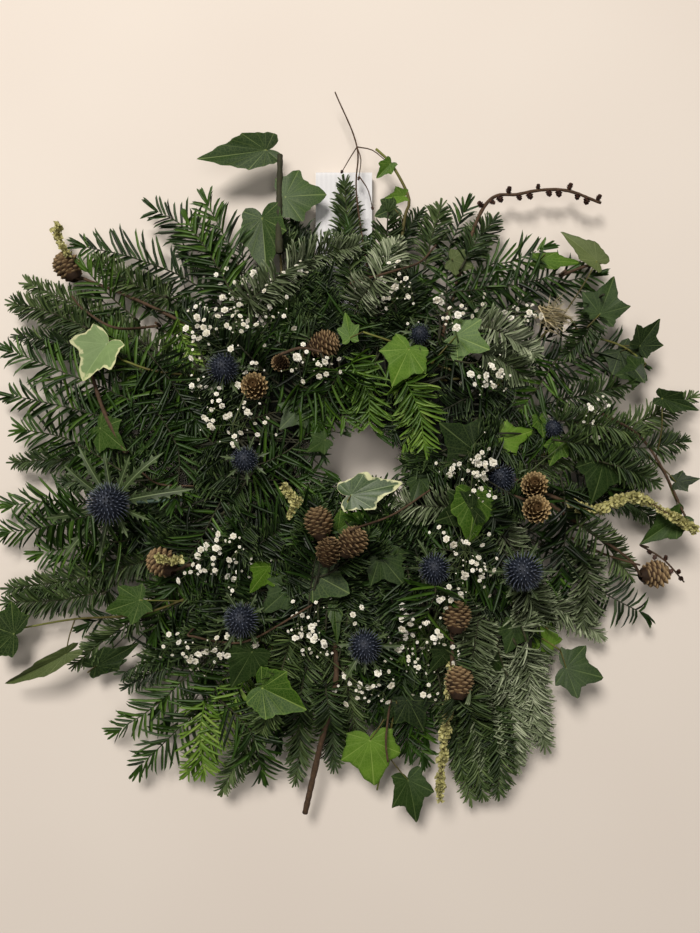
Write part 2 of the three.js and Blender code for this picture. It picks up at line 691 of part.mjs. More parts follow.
function laySeaHolly(name, px, py, radius, reaches, seat = [px, py]) {
  lay(name, "seaHolly", seat, 0.1, (spot) => {
    const centre = onPile(px, py, 5);
    const outward = centre.clone().sub(RING_CENTRE).setZ(0).normalize();
    const axis = UP.clone().addScaledVector(outward, 0.15).normalize();
    const beside = spot.clone().lerp(centre, 0.6).setZ(centre.z - 2);
    const route = [spot, beside, centre];
    const short = spot.distanceTo(centre) < 14;
    const headRise = radius > 15 ? 7 : 2.4 + radius * 0.1;
    const seatUnder = centre.clone().add(vec(4, 2.5, reaches ? headRise * 0.4 : 0));
    const stem = tube(short ? [spot, seatUnder] : [...route.slice(0, 2), seatUnder], 1.4, 40);
    if (!short) noteRib(route);
    if (!reaches) return [stem, seaHollyHead(centre, radius, axis)];
    const rosette = collar(centre, reaches, 0.1, headRise - 1);
    const clear = centre.clone().add(vec(0, 0, headRise));
    return {
      [`${name}_bracts`]: ["bract", [stem, rosette]],
      [`${name}_head`]: ["seaHolly", [seaHollyHead(clear, radius, UP)]],
    };
  });
}

// Cones on a twig. Each cone is [px, py of its base, px, py of its tip, scale].
function layCones(name, seat, twigs, cones, finish = "cone") {
  lay(name, finish, seat, 0.12, (spot) => {
    const pieces = twigs.map((route) => {
      const points = [spot, ...route.map(([px, py]) => onPile(px, py, 5))];
      noteRib(points);
      return tube(points, TWIG_RADIUS, 28);
    });
    for (const [bx, by, tx, ty, scale = 1] of cones) {
      const nearest = (best, [px, py]) =>
        (!best || Math.hypot(px - bx, py - by) < Math.hypot(best[0] - bx, best[1] - by) ? [px, py] : best);
      const anchor = twigs.flat().reduce(nearest, null);
      const base = onPile(bx, by, CONE_RADIUS * 0.6);
      const axis = onPile(tx, ty, CONE_RADIUS * 0.6).sub(base);
      if (Math.hypot(axis.x, axis.y) < 12) axis.z = 14;
      axis.normalize();
      pieces.push(cone(base, axis, scale));
      const root = anchor ? onPile(...anchor, 5) : spot;
      pieces.push(tube([root, base.clone().addScaledVector(axis, 3)], 1.4, 30));
    }
    return pieces;
  });
}

function layBuddedTwig(name, finish, seat, route, from, buds) {
  lay(name, finish, seat, 0.12, (spot) => [
    buddedTwig([spot, ...route.map(([px, py]) => onPile(px, py, 5))], from, buds),
  ]);
}

// A gypsophila spray: a branch from the moss to each cluster, with flowers on stalks at its end.
function layGypsophila(name, seat, clusters, seed) {
  const random = seeded(seed);
  const makers = clusters.map(([px, py, across, pairs]) => (start) => {
    const hub = onPile(px, py, 4);
    const beyond = start.clone().sub(hub).setZ(0).setLength(across * 0.5);
    const end = hub.clone().sub(beyond);
    const bend = start.clone().lerp(end, 0.45);
    bend.z = Math.max(bend.z, pileTop(bend.x, bend.y) + 3);
    return panicle([start, bend, end], across * MM_PER_PIXEL, pairs, random);
  });
  layOneByOne(name, "gypsophila", seat, 0.4, makers);
}

const mossUncut = mossRing();
addToPile([mossUncut, bindingWire(0), ribbonLoop(0)]);
ribs.push(...bindingRoute().getSpacedPoints(600).filter((p) => p.z > MOSS_HEIGHT / 3));

laySprays("yew_spray_top_left", "yew", YEW, [262, 350], [
  [[200, 288], [140, 260], [86, 247]],
  [[212, 262], [180, 224], [158, 212]],
  [[240, 270], [222, 232], [208, 205]],
]);
laySprays("fir_spray_left_upper", "fir", FIR, [222, 398], [
  [[150, 348], [90, 312], [30, 284]],
  [[140, 368], [80, 347], [22, 336]],
]);
laySprays("yew_spray_left", "yew", YEW, [215, 450], [
  [[130, 400], [70, 375], [14, 352]],
  [[130, 424], [70, 408], [14, 396]],
  [[110, 500], [60, 500], [14, 505]],
]);
laySprays("fir_spray_left_lower", "fir", FIR, [215, 545], [
  [[120, 470], [66, 460], [18, 462]],
  [[130, 565], [70, 580], [12, 588]],
  [[150, 606], [112, 634], [78, 662]],
]);
laySprays("yew_spray_bottom_left", "youngYew", YEW, [272, 606], [
  [[200, 665], [155, 706], [122, 728]],
  [[215, 690], [172, 735], [142, 764]],
  [[240, 690], [216, 735], [190, 770]],
]);
laySprays("fir_spray_bottom", "fir", FIR, [315, 628], [
  [[270, 700], [245, 748], [224, 786]],
  [[300, 700], [300, 750], [296, 776]],
  [[345, 680], [352, 712], [358, 738]],
  [[322, 590], [330, 550], [336, 514]],
]);
laySprays("fir_spray_bottom_right", "fir", FIR, [432, 596], [
  [[490, 690], [506, 730], [516, 762]],
  [[445, 700], [462, 755], [470, 796]],
  [[505, 650], [530, 700], [544, 742]],
  [[470, 690], [486, 740], [494, 780]],
]);
laySprays("fir_spray_right", "fir", FIR, [488, 500], [
  [[560, 555], [600, 590], [640, 612]],
  [[530, 590], [565, 612], [596, 632]],
  [[570, 450], [640, 422], [690, 398]],
  [[570, 500], [620, 500], [655, 520]],
  [[450, 506], [420, 506], [396, 502]],
]);
laySprays("yew_spray_top_right", "yew", YEW, [446, 372], [
  [[510, 305], [550, 286], [590, 276]],
  [[480, 275], [510, 262], [540, 250]],
  [[550, 365], [600, 352], [634, 360]],
  [[448, 260], [456, 232], [464, 212]],
]);
laySprays("fir_spray_top", "fir", FIR, [365, 342], [
  [[350, 270], [347, 224], [345, 186]],
  [[390, 270], [404, 236], [418, 216]],
]);
laySprays("yew_spray_centre", "youngYew", YEW, [382, 346], [
  [[362, 380], [366, 405], [371, 425]],
  [[415, 390], [414, 420], [404, 444]],
]);
laySprays("yew_spray_left_hanging", "yew", YEW, [236, 470], [
  [[170, 400], [130, 360], [112, 336]],
  [[200, 540], [172, 590], [156, 628]],
  [[266, 480], [296, 476], [320, 468]],
  [[266, 462], [292, 448], [312, 430]],
]);

layIvyTrail("ivy_trail_top_left", "ivy", [282, 322], [[[279, 232], [280, 158]]], [
  { from: [280, 158], at: [266, 154], tip: [202, 160], wide: 0.8 },
  { from: [279, 232], at: [296, 217], tip: [322, 186] },
  { from: [279, 232], at: [266, 231], tip: [249, 276], wide: 0.65 },
]);
layIvyTrail("ivy_trail_top", "ivy", [392, 318], [[[404, 222], [409, 199], [392, 165], [376, 149]]], [
  { from: [392, 165], at: [390, 164], tip: [376, 180] },
  { from: [409, 199], at: [404, 196], tip: [384, 198] },
  { from: [404, 222], at: [394, 208], tip: [374, 218], high: 14 },
]);
layIvyTrail("ivy_trail_right_upper", "ivy", [500, 392], [
  [[560, 320], [581, 333], [622, 346], [646, 364]],
], [
  { from: [560, 320], at: [592, 258], tip: [561, 232], wide: 0.8 },
  { from: [581, 333], at: [600, 304], tip: [622, 284] },
  { from: [622, 346], at: [646, 346], tip: [656, 322] },
  { from: [646, 364], at: [640, 372], tip: [616, 378] },
]);
layIvyTrail("ivy_trail_right", "ivy", [500, 470], [[[600, 440], [655, 462], [676, 500]]], [
  { from: [655, 462], at: [662, 406], tip: [698, 408], wide: 0.7 },
  { from: [655, 462], at: [676, 482], tip: [698, 480], wide: 0.8 },
  { from: [676, 500], at: [678, 518], tip: [642, 542], wide: 0.7 },
  { from: [600, 440], at: [604, 458], tip: [592, 504], wide: 1.1 },
]);
layIvyTrail("ivy_leaves_top_centre", "ivy", [440, 378], [[[432, 363], [397, 344], [363, 332]]], [
  { from: [397, 344], at: [402, 350], tip: [399, 386] },
  { from: [432, 363], at: [452, 342], tip: [486, 350] },
  { from: [363, 332], at: [350, 332], tip: [344, 316], wide: 0.9 },
]);
layIvyLeaves("ivy_leaves_right_centre", "ivy", [478, 468], [
  { at: [468, 450], tip: [442, 422], wide: 1.1 },
  { at: [480, 498], tip: [458, 534] },
  { at: [472, 508], tip: [436, 520] },
  { at: [496, 442], tip: [532, 434], wide: 0.7 },
]);
layIvyLeaves("ivy_leaves_lower_centre", "ivy", [300, 574], [
  { at: [312, 573], tip: [348, 598] },
  { at: [380, 556], tip: [402, 584] },
  { at: [338, 530], tip: [364, 512], wide: 0.9 },
  { at: [284, 590], tip: [262, 612] },
]);
layIvyLeaves("ivy_leaves_lower_left", "ivy", [262, 640], [
  { at: [252, 652], tip: [236, 684] },
  { at: [268, 692], tip: [308, 704], wide: 1.1 },
  { at: [140, 600], tip: [104, 612], wide: 0.8 },
]);
layIvyTrail("ivy_trail_bottom", "ivy", [375, 636], [[[393, 703], [385, 751], [377, 790]]], [
  { from: [393, 703], at: [370, 742], tip: [376, 790] },
  { from: [385, 751], at: [408, 784], tip: [420, 822] },
  { from: [393, 703], at: [408, 707], tip: [423, 731] },
]);
layIvyTrail("ivy_leaves_right_lower", "ivy", [470, 590], [[[530, 630], [560, 650]]], [
  { from: [560, 650], at: [572, 664], tip: [594, 692], wide: 1.1 },
  { from: [530, 630], at: [516, 630], tip: [504, 654] },
  { from: [560, 650], at: [552, 640], tip: [538, 628], wide: 0.8 },
]);
layIvyTrail("ivy_trail_left", "ivy", [218, 590], [[[150, 612], [75, 619], [22, 628]]], [
  { from: [22, 628], at: [18, 630], tip: [-14, 626], wide: 1.2 },
  { from: [75, 619], at: [62, 654], tip: [4, 690], wide: 0.7 },
]);
layIvyTrail("ivy_leaf_cream_edged_left", "creamIvy", [228, 380], [[[160, 372], [122, 360]]], [
  { from: [122, 360], at: [114, 352], tip: [74, 352], wide: 1.2 },
]);
layIvyTrail("ivy_leaf_cream_edged_centre", "creamIvy", [330, 560], [[[348, 500]]], [
  { from: [348, 500], at: [352, 490], tip: [402, 476], wide: 0.8 },
]);

laySeaHolly("sea_holly_left", 114, 503, 17, [52, 40, 44, 40, 46, 44, 38, 46, 40], [205, 500]);
laySeaHolly("sea_holly_lower_left", 242, 619, 14, [30, 24, 28, 24, 30, 24]);
laySeaHolly("sea_holly_lower_right", 434, 568, 13, [28, 24, 28, 22, 28, 24]);
laySeaHolly("sea_holly_right", 521, 571, 16, [30, 28, 26, 30, 26, 28], [478, 540]);
laySeaHolly("sea_holly_bottom", 365, 645, 14, [32, 26, 30, 24, 34, 26]);
laySeaHolly("sea_holly_upper_left", 224, 369, 13, [26, 22, 28, 22, 26, 24]);
laySeaHolly("sea_holly_top", 420, 334, 9, null);
laySeaHolly("sea_holly_centre_right", 500, 478, 13, null);
laySeaHolly("sea_holly_far_right", 553, 428, 9, null, [496, 440]);
laySeaHolly("sea_holly_centre_left", 245, 460, 11, null);

layCones("larch_cone_top_left", [240, 345], [[[150, 306], [92, 282], [76, 276]]], [[76, 280, 62, 256]]);
layCones("larch_cones_upper", [300, 366], [], [[308, 350, 330, 342], [286, 368, 276, 360, 0.6]]);
layCones("larch_cone_upper_left", [257, 390], [], [[257, 392, 257, 388, 0.9]]);
layCones("larch_cone_left", [210, 566], [[[186, 566]]], [[174, 572, 162, 560]]);
layCones("larch_cones_centre", [315, 585], [[[326, 560]]], [
  [322, 540, 318, 518],
  [342, 556, 354, 540],
  [326, 566, 330, 546, 0.9],
]);
layCones("larch_cones_right", [505, 500], [[[526, 500]]], [
  [534, 492, 535, 484, 0.9],
  [533, 514, 533, 508, 0.9],
]);
layCones("larch_twig_bottom", [446, 600], [[[452, 640], [450, 690], [442, 760], [440, 800]]], [
  [456, 634, 456, 612],
  [458, 700, 458, 674],
]);
layCones("larch_twig_right", [510, 480], [
  [[588, 509], [631, 497], [672, 516], [695, 530]],
  [[588, 530], [630, 560], [640, 576]],
], [[640, 576, 664, 572]]);
layBuddedTwig("larch_bud_twig", "bark", [452, 332], [
  [481, 212], [520, 194], [563, 190], [601, 203],
], 0.4, 10);
layCones("cut_stem_bottom", [330, 640], [[[335, 680], [315, 749], [305, 813]]], [], "bark");
layBuddedTwig("dried_sprig_top", "bark", [366, 330], [[357, 200], [357, 147], [335, 92]], 0.55, 5);

layGypsophila("gypsophila_upper_left", [262, 332], [
  [266, 296, 30, 6], [225, 345, 26, 5], [312, 362, 22, 4],
], 11);
layGypsophila("gypsophila_upper_right", [470, 350], [
  [392, 288, 20, 4], [522, 315, 20, 4], [482, 376, 16, 3],
], 12);
layGypsophila("gypsophila_right", [470, 520], [
  [474, 466, 24, 5], [466, 552, 26, 5], [428, 606, 26, 5], [596, 416, 20, 4],
], 13);
layGypsophila("gypsophila_lower_left", [236, 590], [
  [226, 560, 28, 5], [206, 646, 28, 5], [312, 626, 26, 5],
], 14);

// ---------- cutting and joining ----------
function pegSolid({ spot }, grow) {
  const foot = Math.max(8, topOfMoss(spot) - PEG_DEPTH) - grow;
  const top = spot.z + 0.4;
  const geometry = new THREE.CylinderGeometry(PEG_RADIUS + grow, PEG_RADIUS + grow, top - foot, 3);
  geometry.rotateX(Math.PI / 2).translate(spot.x, spot.y, (top + foot) / 2);
  return solidOf(pieceFrom(geometry));
}

function topOfMoss(spot) {
  const radius = Math.hypot(spot.x - RING_CENTRE.x, spot.y - RING_CENTRE.y);
  const across = (radius - RING_RADIUS) / MOSS_HALF_WIDTH;
  return MOSS_HEIGHT * (0.36 + 0.64 * Math.sqrt(Math.max(0, 1 - across * across)));
}

function bodies() {
  const solids = nodes.map(({ pieces }) => join(pieces));
  pegs.forEach((peg) => {
    solids[peg.node] = solids[peg.node].add(pegSolid(peg, 0));
  });
  // a stem that passes through foliage laid before it goes through a plain hole
  pegs.forEach((peg) => {
    const hole = pegSolid(peg, GAP);
    for (let k = 0; k < peg.node; k++) solids[k] = solids[k].subtract(hole);
  });
  return solids.map(largest);
}

const FINISHES = {
  yew: [0x2c4a1c, 0.45],
  youngYew: [0x5d8228, 0.45],
  fir: [0x4a6250, 0.55],
  ivy: [0x2f5a1d, 0.35],
  creamIvy: [0x86956a, 0.4],
  seaHolly: [0x3a4260, 0.6],
  bract: [0x5f7468, 0.5],
  cone: [0x7a5a3c, 0.8],
  bark: [0x5b4028, 0.8],
  gypsophila: [0xefeadb, 0.7],
  moss: [0x3b4420, 0.95],
  wire: [0x3f4a3c, 0.4, 0.8],
  ribbon: [0xe9e6de, 0.7],
};

function meshOf(name, finish, solid) {
  const { vertProperties, triVerts } = solid.getMesh();
  const geometry = new THREE.BufferGeometry();
  geometry.setAttribute("position", new THREE.BufferAttribute(new Float32Array(vertProperties), 3));
  geometry.setIndex([...triVerts]);
  geometry.computeVertexNormals();
  const [color, roughness, metalness = 0] = FINISHES[finish];
  const mesh = new THREE.Mesh(geometry, new THREE.MeshStandardMaterial({ color, roughness, metalness }));
  mesh.name = name;
  return mesh;
}

function cutMoss() {
  let moss = solidOf(mossUncut);
  for (const cutter of [...frameChannels(), bindingWire(GAP), ribbonLoop(GAP)]) {
    moss = moss.subtract(solidOf(cutter));
  }
  for (const peg of pegs) moss = moss.subtract(pegSolid(peg, GAP));
  return largest(moss);
}

const wreath = new THREE.Group();
wreath.add(meshOf("moss_ring", "moss", cutMoss()));
wreath.add(meshOf("wire_frame", "wire", join(wireFrame())));
wreath.add(meshOf("binding_wire", "wire", solidOf(bindingWire(0))));
wreath.add(meshOf("hanging_ribbon", "ribbon", solidOf(ribbonLoop(0))));
bodies().forEach((solid, k) => wreath.add(meshOf(nodes[k].name, nodes[k].finish, solid)));

// The origin is the middle of the wreath's reach, on the surface that it rests on.
const reach = new THREE.Box3().setFromObject(wreath);
const middle = reach.getCenter(new THREE.Vector3());
wreath.position.set(-middle.x, -middle.y, -reach.min.z);

export default wreath;
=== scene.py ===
"""A fresh evergreen wreath on its flat back: the finer foliage, heads, cones and flowers that
stand for the solids of its frame. Metres, +Z up."""

import math

import bpy
import numpy as np
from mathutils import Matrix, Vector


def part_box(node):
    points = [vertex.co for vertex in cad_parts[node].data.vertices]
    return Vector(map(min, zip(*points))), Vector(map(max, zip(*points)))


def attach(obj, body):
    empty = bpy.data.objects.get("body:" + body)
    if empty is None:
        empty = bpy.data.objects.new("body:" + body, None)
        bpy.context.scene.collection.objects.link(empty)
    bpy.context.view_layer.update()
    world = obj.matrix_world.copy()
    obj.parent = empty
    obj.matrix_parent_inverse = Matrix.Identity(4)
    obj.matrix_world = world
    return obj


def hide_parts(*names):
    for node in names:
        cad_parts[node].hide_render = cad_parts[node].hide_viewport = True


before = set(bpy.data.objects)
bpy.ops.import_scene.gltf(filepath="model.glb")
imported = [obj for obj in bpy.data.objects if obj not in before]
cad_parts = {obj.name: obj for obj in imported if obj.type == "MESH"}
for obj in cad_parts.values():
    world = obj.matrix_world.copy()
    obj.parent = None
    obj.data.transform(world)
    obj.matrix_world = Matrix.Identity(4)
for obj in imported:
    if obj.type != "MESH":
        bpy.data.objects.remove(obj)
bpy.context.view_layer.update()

MM = 0.001
UP = np.array([0.0, 0.0, 1.0])
RNG = np.random.default_rng(20)
GOLDEN_ANGLE = 2.39996  # in radians, between one scale, floret or flower and the next


def put(name, data):
    """A new object in the scene."""
    made = bpy.data.objects.new(name, data)
    bpy.context.scene.collection.objects.link(made)
    return made


# ---------- the picture ----------
METRES_PER_PIXEL = 0.0009  # at the flat back
EYE_HEIGHT = 0.7
SENSOR = 36
PICTURE_CENTRE = (350, 466.5)
PICTURE_SIZE = (700, 933)
RING_FROM_EYE = np.array([1.741, -6.528]) * MM  # from the point under the eye to the ring's middle
hoop_low, hoop_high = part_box("wire_frame")
RING = np.array([(hoop_low.x + hoop_high.x) / 2, (hoop_low.y + hoop_high.y) / 2])
EYE = RING - RING_FROM_EYE
RING_RADIUS = 98 * MM  # to the middle of the moss
MOSS_TOP = 46 * MM
PEG_SINK = 4 * MM  # how far under the moss's top a stem starts
MOSS_FLAT = 36 * MM  # foliage lies level this far outside the ring's radius, and then droops
DROOP = 0.09  # over this distance
RIM_Z = 16 * MM  # to this height


def seen(px, py, z):
    """The points that the picture shows at (px, py), at height z."""
    px, py, z = np.broadcast_arrays(np.asarray(px, float), np.asarray(py, float), np.asarray(z, float))
    scale = METRES_PER_PIXEL * (EYE_HEIGHT - z) / EYE_HEIGHT
    x = EYE[0] + (px - PICTURE_CENTRE[0]) * scale
    y = EYE[1] + (PICTURE_CENTRE[1] - py) * scale
    return np.stack([x, y, z], axis=-1)


def pixels_of(points):
    """Where the picture shows the points."""
    scale = METRES_PER_PIXEL * (EYE_HEIGHT - points[..., 2]) / EYE_HEIGHT
    px = PICTURE_CENTRE[0] + (points[..., 0] - EYE[0]) / scale
    py = PICTURE_CENTRE[1] - (points[..., 1] - EYE[1]) / scale
    return np.stack([px, py], axis=-1)


camera = put("camera", bpy.data.cameras.new("camera"))
camera.data.sensor_width = SENSOR
camera.data.lens = SENSOR * EYE_HEIGHT / (PICTURE_SIZE[1] * METRES_PER_PIXEL)
camera.location = (EYE[0], EYE[1], EYE_HEIGHT)
bpy.context.scene.camera = camera


# ---------- paths and directions ----------
def unit(v):
    return v / np.maximum(np.linalg.norm(v, axis=-1, keepdims=True), 1e-12)


def heading(angle, *rise):
    """The direction at this angle over the flat back, with its rise if one is given."""
    return np.array([math.cos(angle), math.sin(angle), *rise])


def turns(count):
    """Angles that share a full turn evenly."""
    return np.arange(count) * 2 * math.pi / count


def turned(one, other, angles):
    """Directions at these angles, from one towards the other."""
    return one * np.cos(angles)[:, None] + other * np.sin(angles)[:, None]


def run_of(path):
    """How far along the path each of its points lies."""
    return np.r_[0, np.cumsum(np.linalg.norm(np.diff(path, axis=0), axis=1))]


def length_of(path):
    return float(np.linalg.norm(np.diff(path, axis=0), axis=1).sum())


def sampled(at, run, values):
    """The values at these distances along a run."""
    return np.stack([np.interp(at, run, column) for column in values.T], axis=1)


def along_path(path, at):
    """The points and directions at these distances along a path."""
    run = run_of(path)
    return sampled(at, run, path), unit(sampled(at, run, unit(np.gradient(path, axis=0))))


def curve(points, spacing):
    """Points every spacing along a smooth curve through these points."""
    points = np.asarray(points, float)
    if len(points) < 3:
        count = max(2, int(np.linalg.norm(points[-1] - points[0]) / spacing) + 1)
        return points[0] + np.linspace(0, 1, count)[:, None] * (points[-1] - points[0])
    ends = np.vstack([2 * points[0] - points[1], points, 2 * points[-1] - points[-2]])
    t = np.linspace(0, 1, 13)[:-1, None]
    parts = []
    for a, b, c, d in zip(ends, ends[1:], ends[2:], ends[3:]):
        square = 2 * a - 5 * b + 4 * c - d
        cube = 3 * b - a - 3 * c + d
        parts.append(0.5 * (2 * b + (c - a) * t + square * t**2 + cube * t**3))
    fine = np.vstack(parts + [points[-1:]])
    run = run_of(fine)
    return sampled(np.linspace(0, run[-1], max(2, int(run[-1] / spacing) + 1)), run, fine)


def softened(values, rounds=2):
    for _ in range(rounds):
        padded = np.r_[values[0], values, values[-1]]
        values = 0.25 * padded[:-2] + 0.5 * padded[1:-1] + 0.25 * padded[2:]
    return values


# ---------- the frame's solids, as points ----------
MAP_HALF = 0.34  # a map of what lies on top reaches this far to each side
MAP_CELL = 0.008
MAP_CELLS = int(2 * MAP_HALF / MAP_CELL)
MAP_STEPS = (0, 0.25, 0.5, 0.75, 1)  # where each triangle is sampled, in shares of its edges


def corners_of(name):
    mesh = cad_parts[name].data
    points = np.empty(len(mesh.vertices) * 3, np.float32)
    mesh.vertices.foreach_get("co", points)
    return points.reshape(-1, 3).astype(float)


CORNERS = {name: corners_of(name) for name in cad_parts}


def height_at(node, pixels, nearest=4):
    """How high the node lies where the picture shows these pixels."""
    corners = CORNERS[node]
    apart = np.linalg.norm(pixels_of(corners)[None] - np.asarray(pixels, float)[:, None], axis=2)
    near = np.argsort(apart, axis=1)[:, :nearest]
    return np.median(corners[near, 2], axis=1)


def cell_of(points):
    """The row and column of the map that each point lies in."""
    cell = np.clip(((points[..., :2] + MAP_HALF) / MAP_CELL).astype(int), 0, MAP_CELLS - 1)
    return cell[..., 1], cell[..., 0]


def over(top, points):
    return top[cell_of(points)]


def top_map(names):
    """The top of these solids over a grid."""
    top = np.zeros((MAP_CELLS, MAP_CELLS))
    for name in names:
        faces = np.array([p.vertices[:3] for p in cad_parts[name].data.polygons])
        a, b, c = (CORNERS[name][faces[:, k]] for k in range(3))
        for u in MAP_STEPS:
            for v in MAP_STEPS:
                if u + v <= 1:
                    points = a * (1 - u - v) + b * u + c * v
                    np.maximum.at(top, cell_of(points), points[:, 2])
    return top


def filled(top):
    """The map with its gaps filled from round about."""
    for _ in range(2):
        wide = np.pad(top, 1, mode="edge")
        around = [wide[i : i + MAP_CELLS, j : j + MAP_CELLS] for i in range(3) for j in range(3)]
        top = np.where(top > 0, top, np.mean(around, axis=0))
    return top


CANOPY = filled(top_map(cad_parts))
MOSS = top_map(["moss_ring"])


def peg_of(node):
    """Where the node's stem goes into the moss: its points that are deepest under the moss's top."""
    corners = CORNERS[node]
    depth = over(MOSS, corners) - corners[:, 2]
    x, y, _ = corners[np.argsort(-depth)[:3]].mean(axis=0)
    return np.array([x, y, MOSS_TOP - PEG_SINK])


def free_height(points):
    """How high foliage lies where nothing is under it: over the moss, or drooping to the rim."""
    distance = np.linalg.norm(points[..., :2] - RING, axis=-1)
    outside = np.clip((distance - RING_RADIUS - MOSS_FLAT) / DROOP, 0, 1)
    return MOSS_TOP + outside * (RIM_Z - MOSS_TOP)


def lie(node, route):
    """A route that the picture shows, at the height of the node's solid. Its stem comes up to it
    from its foot, under the foliage."""
    foot = pixels_of(peg_of(node))
    pixels = curve(np.vstack([foot, route]), 8)
    share = np.linalg.norm(pixels - foot, axis=1) / max(1.0, np.linalg.norm(route[0] - foot))
    shown = softened(height_at(node, pixels))
    low = np.minimum(shown, free_height(seen(*pixels.T, MOSS_TOP)) + 3 * MM)
    rise = np.clip((share - 0.5) / 0.5, 0, 1)
    return seen(*pixels.T, softened(low + (shown - low) * rise))


def laid(route, lift, foot=True):
    """A route over whatever lies there, from the moss under its first point."""
    pixels = curve(route, 6)
    points = seen(*pixels.T, MOSS_TOP)
    for _ in range(3):
        under = np.maximum(over(CANOPY, points), free_height(points))
        points = seen(*pixels.T, softened(under, 3) + lift)
    if foot:
        points = np.vstack([points[0] * [1, 1, 0] + UP * (MOSS_TOP - 6 * MM), points])
    return points


# ---------- growing a piece ----------
def grid(rows, columns, closed=False, flipped=False):
    """The quads of a grid of points, row by row. A closed row joins its last point to its first."""
    row, column = np.mgrid[: rows - 1, : columns - (not closed)]
    a, b = row * columns + column, row * columns + (column + 1) % columns
    corners = (a, b, b + columns, a + columns) if flipped else (a, a + columns, b + columns, b)
    return np.stack(corners, axis=-1).reshape(-1, 4)


def repeated(faces, count, points):
    """The faces of a template with so many points, for each of its copies."""
    steps = (np.arange(count) * points)[:, None, None]
    return [(steps + np.asarray(some)).reshape(-1, np.shape(some)[1]) for some in faces]


class Growth:
    """The points and faces of one piece. Each point has a tone, which differs from leaf to leaf,
    a share along its leaf or needle, and the strength of the vein that it lies on."""

    def __init__(self):
        self.points, self.tones, self.alongs, self.veins = [], [], [], []
        self.faces, self.looks, self.count = [], [], 0

    def add(self, points, faces, tone=0.5, along=0.5, look=0, vein=0.0):
        points = np.asarray(points, float).reshape(-1, 3)
        self.points.append(points)
        for kept, values in ((self.tones, tone), (self.alongs, along), (self.veins, vein)):
            kept.append(np.broadcast_to(np.asarray(values, float).ravel(), len(points)))
        for some in faces:
            some = np.asarray(some, int)
            self.faces.append(some + self.count)
            self.looks.append(np.full(len(some), look))
        self.count += len(points)

    def scatter(self, template, origins, along, normal, length, width, tone, look=0):
        """Places the template at each origin, its length along one direction."""
        shape, faces, shares = template
        count = len(origins)
        if not count:
            return
        along = unit(along)
        side = unit(np.cross(normal, along))
        up = np.cross(along, side)
        length, width, tone = (np.broadcast_to(np.asarray(v, float), count) for v in (length, width, tone))
        points = origins[:, None]
        for axis, way, size in ((0, along, length), (1, side, width), (2, up, length)):
            points = points + way[:, None] * (shape[:, axis] * size[:, None])[..., None]
        tones = np.repeat(tone, len(shape))
        self.add(points, repeated(faces, count, len(shape)), tones, np.tile(shares, count), look)

    def piece(self, name, looks, slot, *nodes):
        """Makes the piece, with its materials, and hides the solids it stands for."""
        mesh = bpy.data.meshes.new(name)
        points = np.concatenate(self.points)
        mesh.vertices.add(len(points))
        mesh.vertices.foreach_set("co", points.astype(np.float32).ravel())
        loops = np.concatenate([some.ravel() for some in self.faces])
        sizes = np.concatenate([np.full(len(some), some.shape[1]) for some in self.faces])
        mesh.loops.add(len(loops))
        mesh.loops.foreach_set("vertex_index", loops.astype(np.int32))
        mesh.polygons.add(len(sizes))
        mesh.polygons.foreach_set("loop_start", np.r_[0, np.cumsum(sizes)[:-1]].astype(np.int32))
        mesh.polygons.foreach_set("material_index", np.concatenate(self.looks).astype(np.int32))
        mesh.polygons.foreach_set("use_smooth", np.ones(len(sizes), bool))
        for key, kept in (("tone", self.tones), ("along", self.alongs), ("vein", self.veins)):
            values = mesh.attributes.new(key, "FLOAT", "POINT")
            values.data.foreach_set("value", np.concatenate(kept).astype(np.float32))
        mesh.update()
        mesh.validate()
        for look in looks:
            mesh.materials.append(MATERIALS[look])
        made = put(name, mesh)
        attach(made, "root")
        if nodes:
            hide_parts(*nodes)
        return made


def stem(growth, path, thick, thin, look, sides=6, tone=0.5, knobbly=0.0):
    """A round stem that tapers from thick to thin, in radius."""
    path = np.asarray(path)
    count = len(path)
    way = unit(np.gradient(path, axis=0))
    side = unit(np.cross(way, UP + np.array([0.01, 0.02, 0])))
    radius = np.linspace(thick, thin, count) * (1 + knobbly * RNG.uniform(-1, 1, count))
    ring = turned(side[:, None], np.cross(side, way)[:, None], turns(sides))
    points = path[:, None] + ring * radius[:, None, None]
    points = np.vstack([points.reshape(-1, 3), path[:1], path[-1:]])
    first, last, end = count * sides, count * sides + 1, (count - 1) * sides
    caps = [(first, (k + 1) % sides, k) for k in range(sides)]
    caps += [(last, end + k, end + (k + 1) % sides) for k in range(sides)]
    shares = np.r_[np.repeat(np.linspace(0, 1, count), sides), 0, 1]
    growth.add(points, [grid(count, sides, closed=True, flipped=True), caps], tone, shares, look)


def lamina(stations, fold=0.0):
    """A narrow leaf of length 1 and width 1 that ends in a point, from (share, half width, height)."""
    points, shares = [], []
    for x, half, z in stations[:-1]:
        points += [(x, -half, z + fold * half), (x, 0, z), (x, half, z + fold * half)]
        shares += [x, x, x]
    x, _, z = stations[-1]
    points.append((x, 0, z))
    shares.append(x)
    quads = []
    for i in range(len(stations) - 2):
        a = 3 * i
        quads += [(a, a + 3, a + 4, a + 1), (a + 1, a + 4, a + 5, a + 2)]
    a = 3 * (len(stations) - 2)
    return np.array(points), [quads, [(a, a + 3, a + 1), (a + 1, a + 3, a + 2)]], np.array(shares)


STRAND = lamina([(0, 0.5, 0), (0.5, 0.42, 0.12), (1, 0, 0.0)], 0.3)


# ---------- what shows on top ----------
SHOWN = []  # x, y, reach and height of each thing on top, which no needle grown later may cover


def show(point, reach):
    SHOWN.append([*point[:2], reach, point[2]])


def show_path(path, sink, reach):
    for point in path:
        show(point - UP * sink, reach)


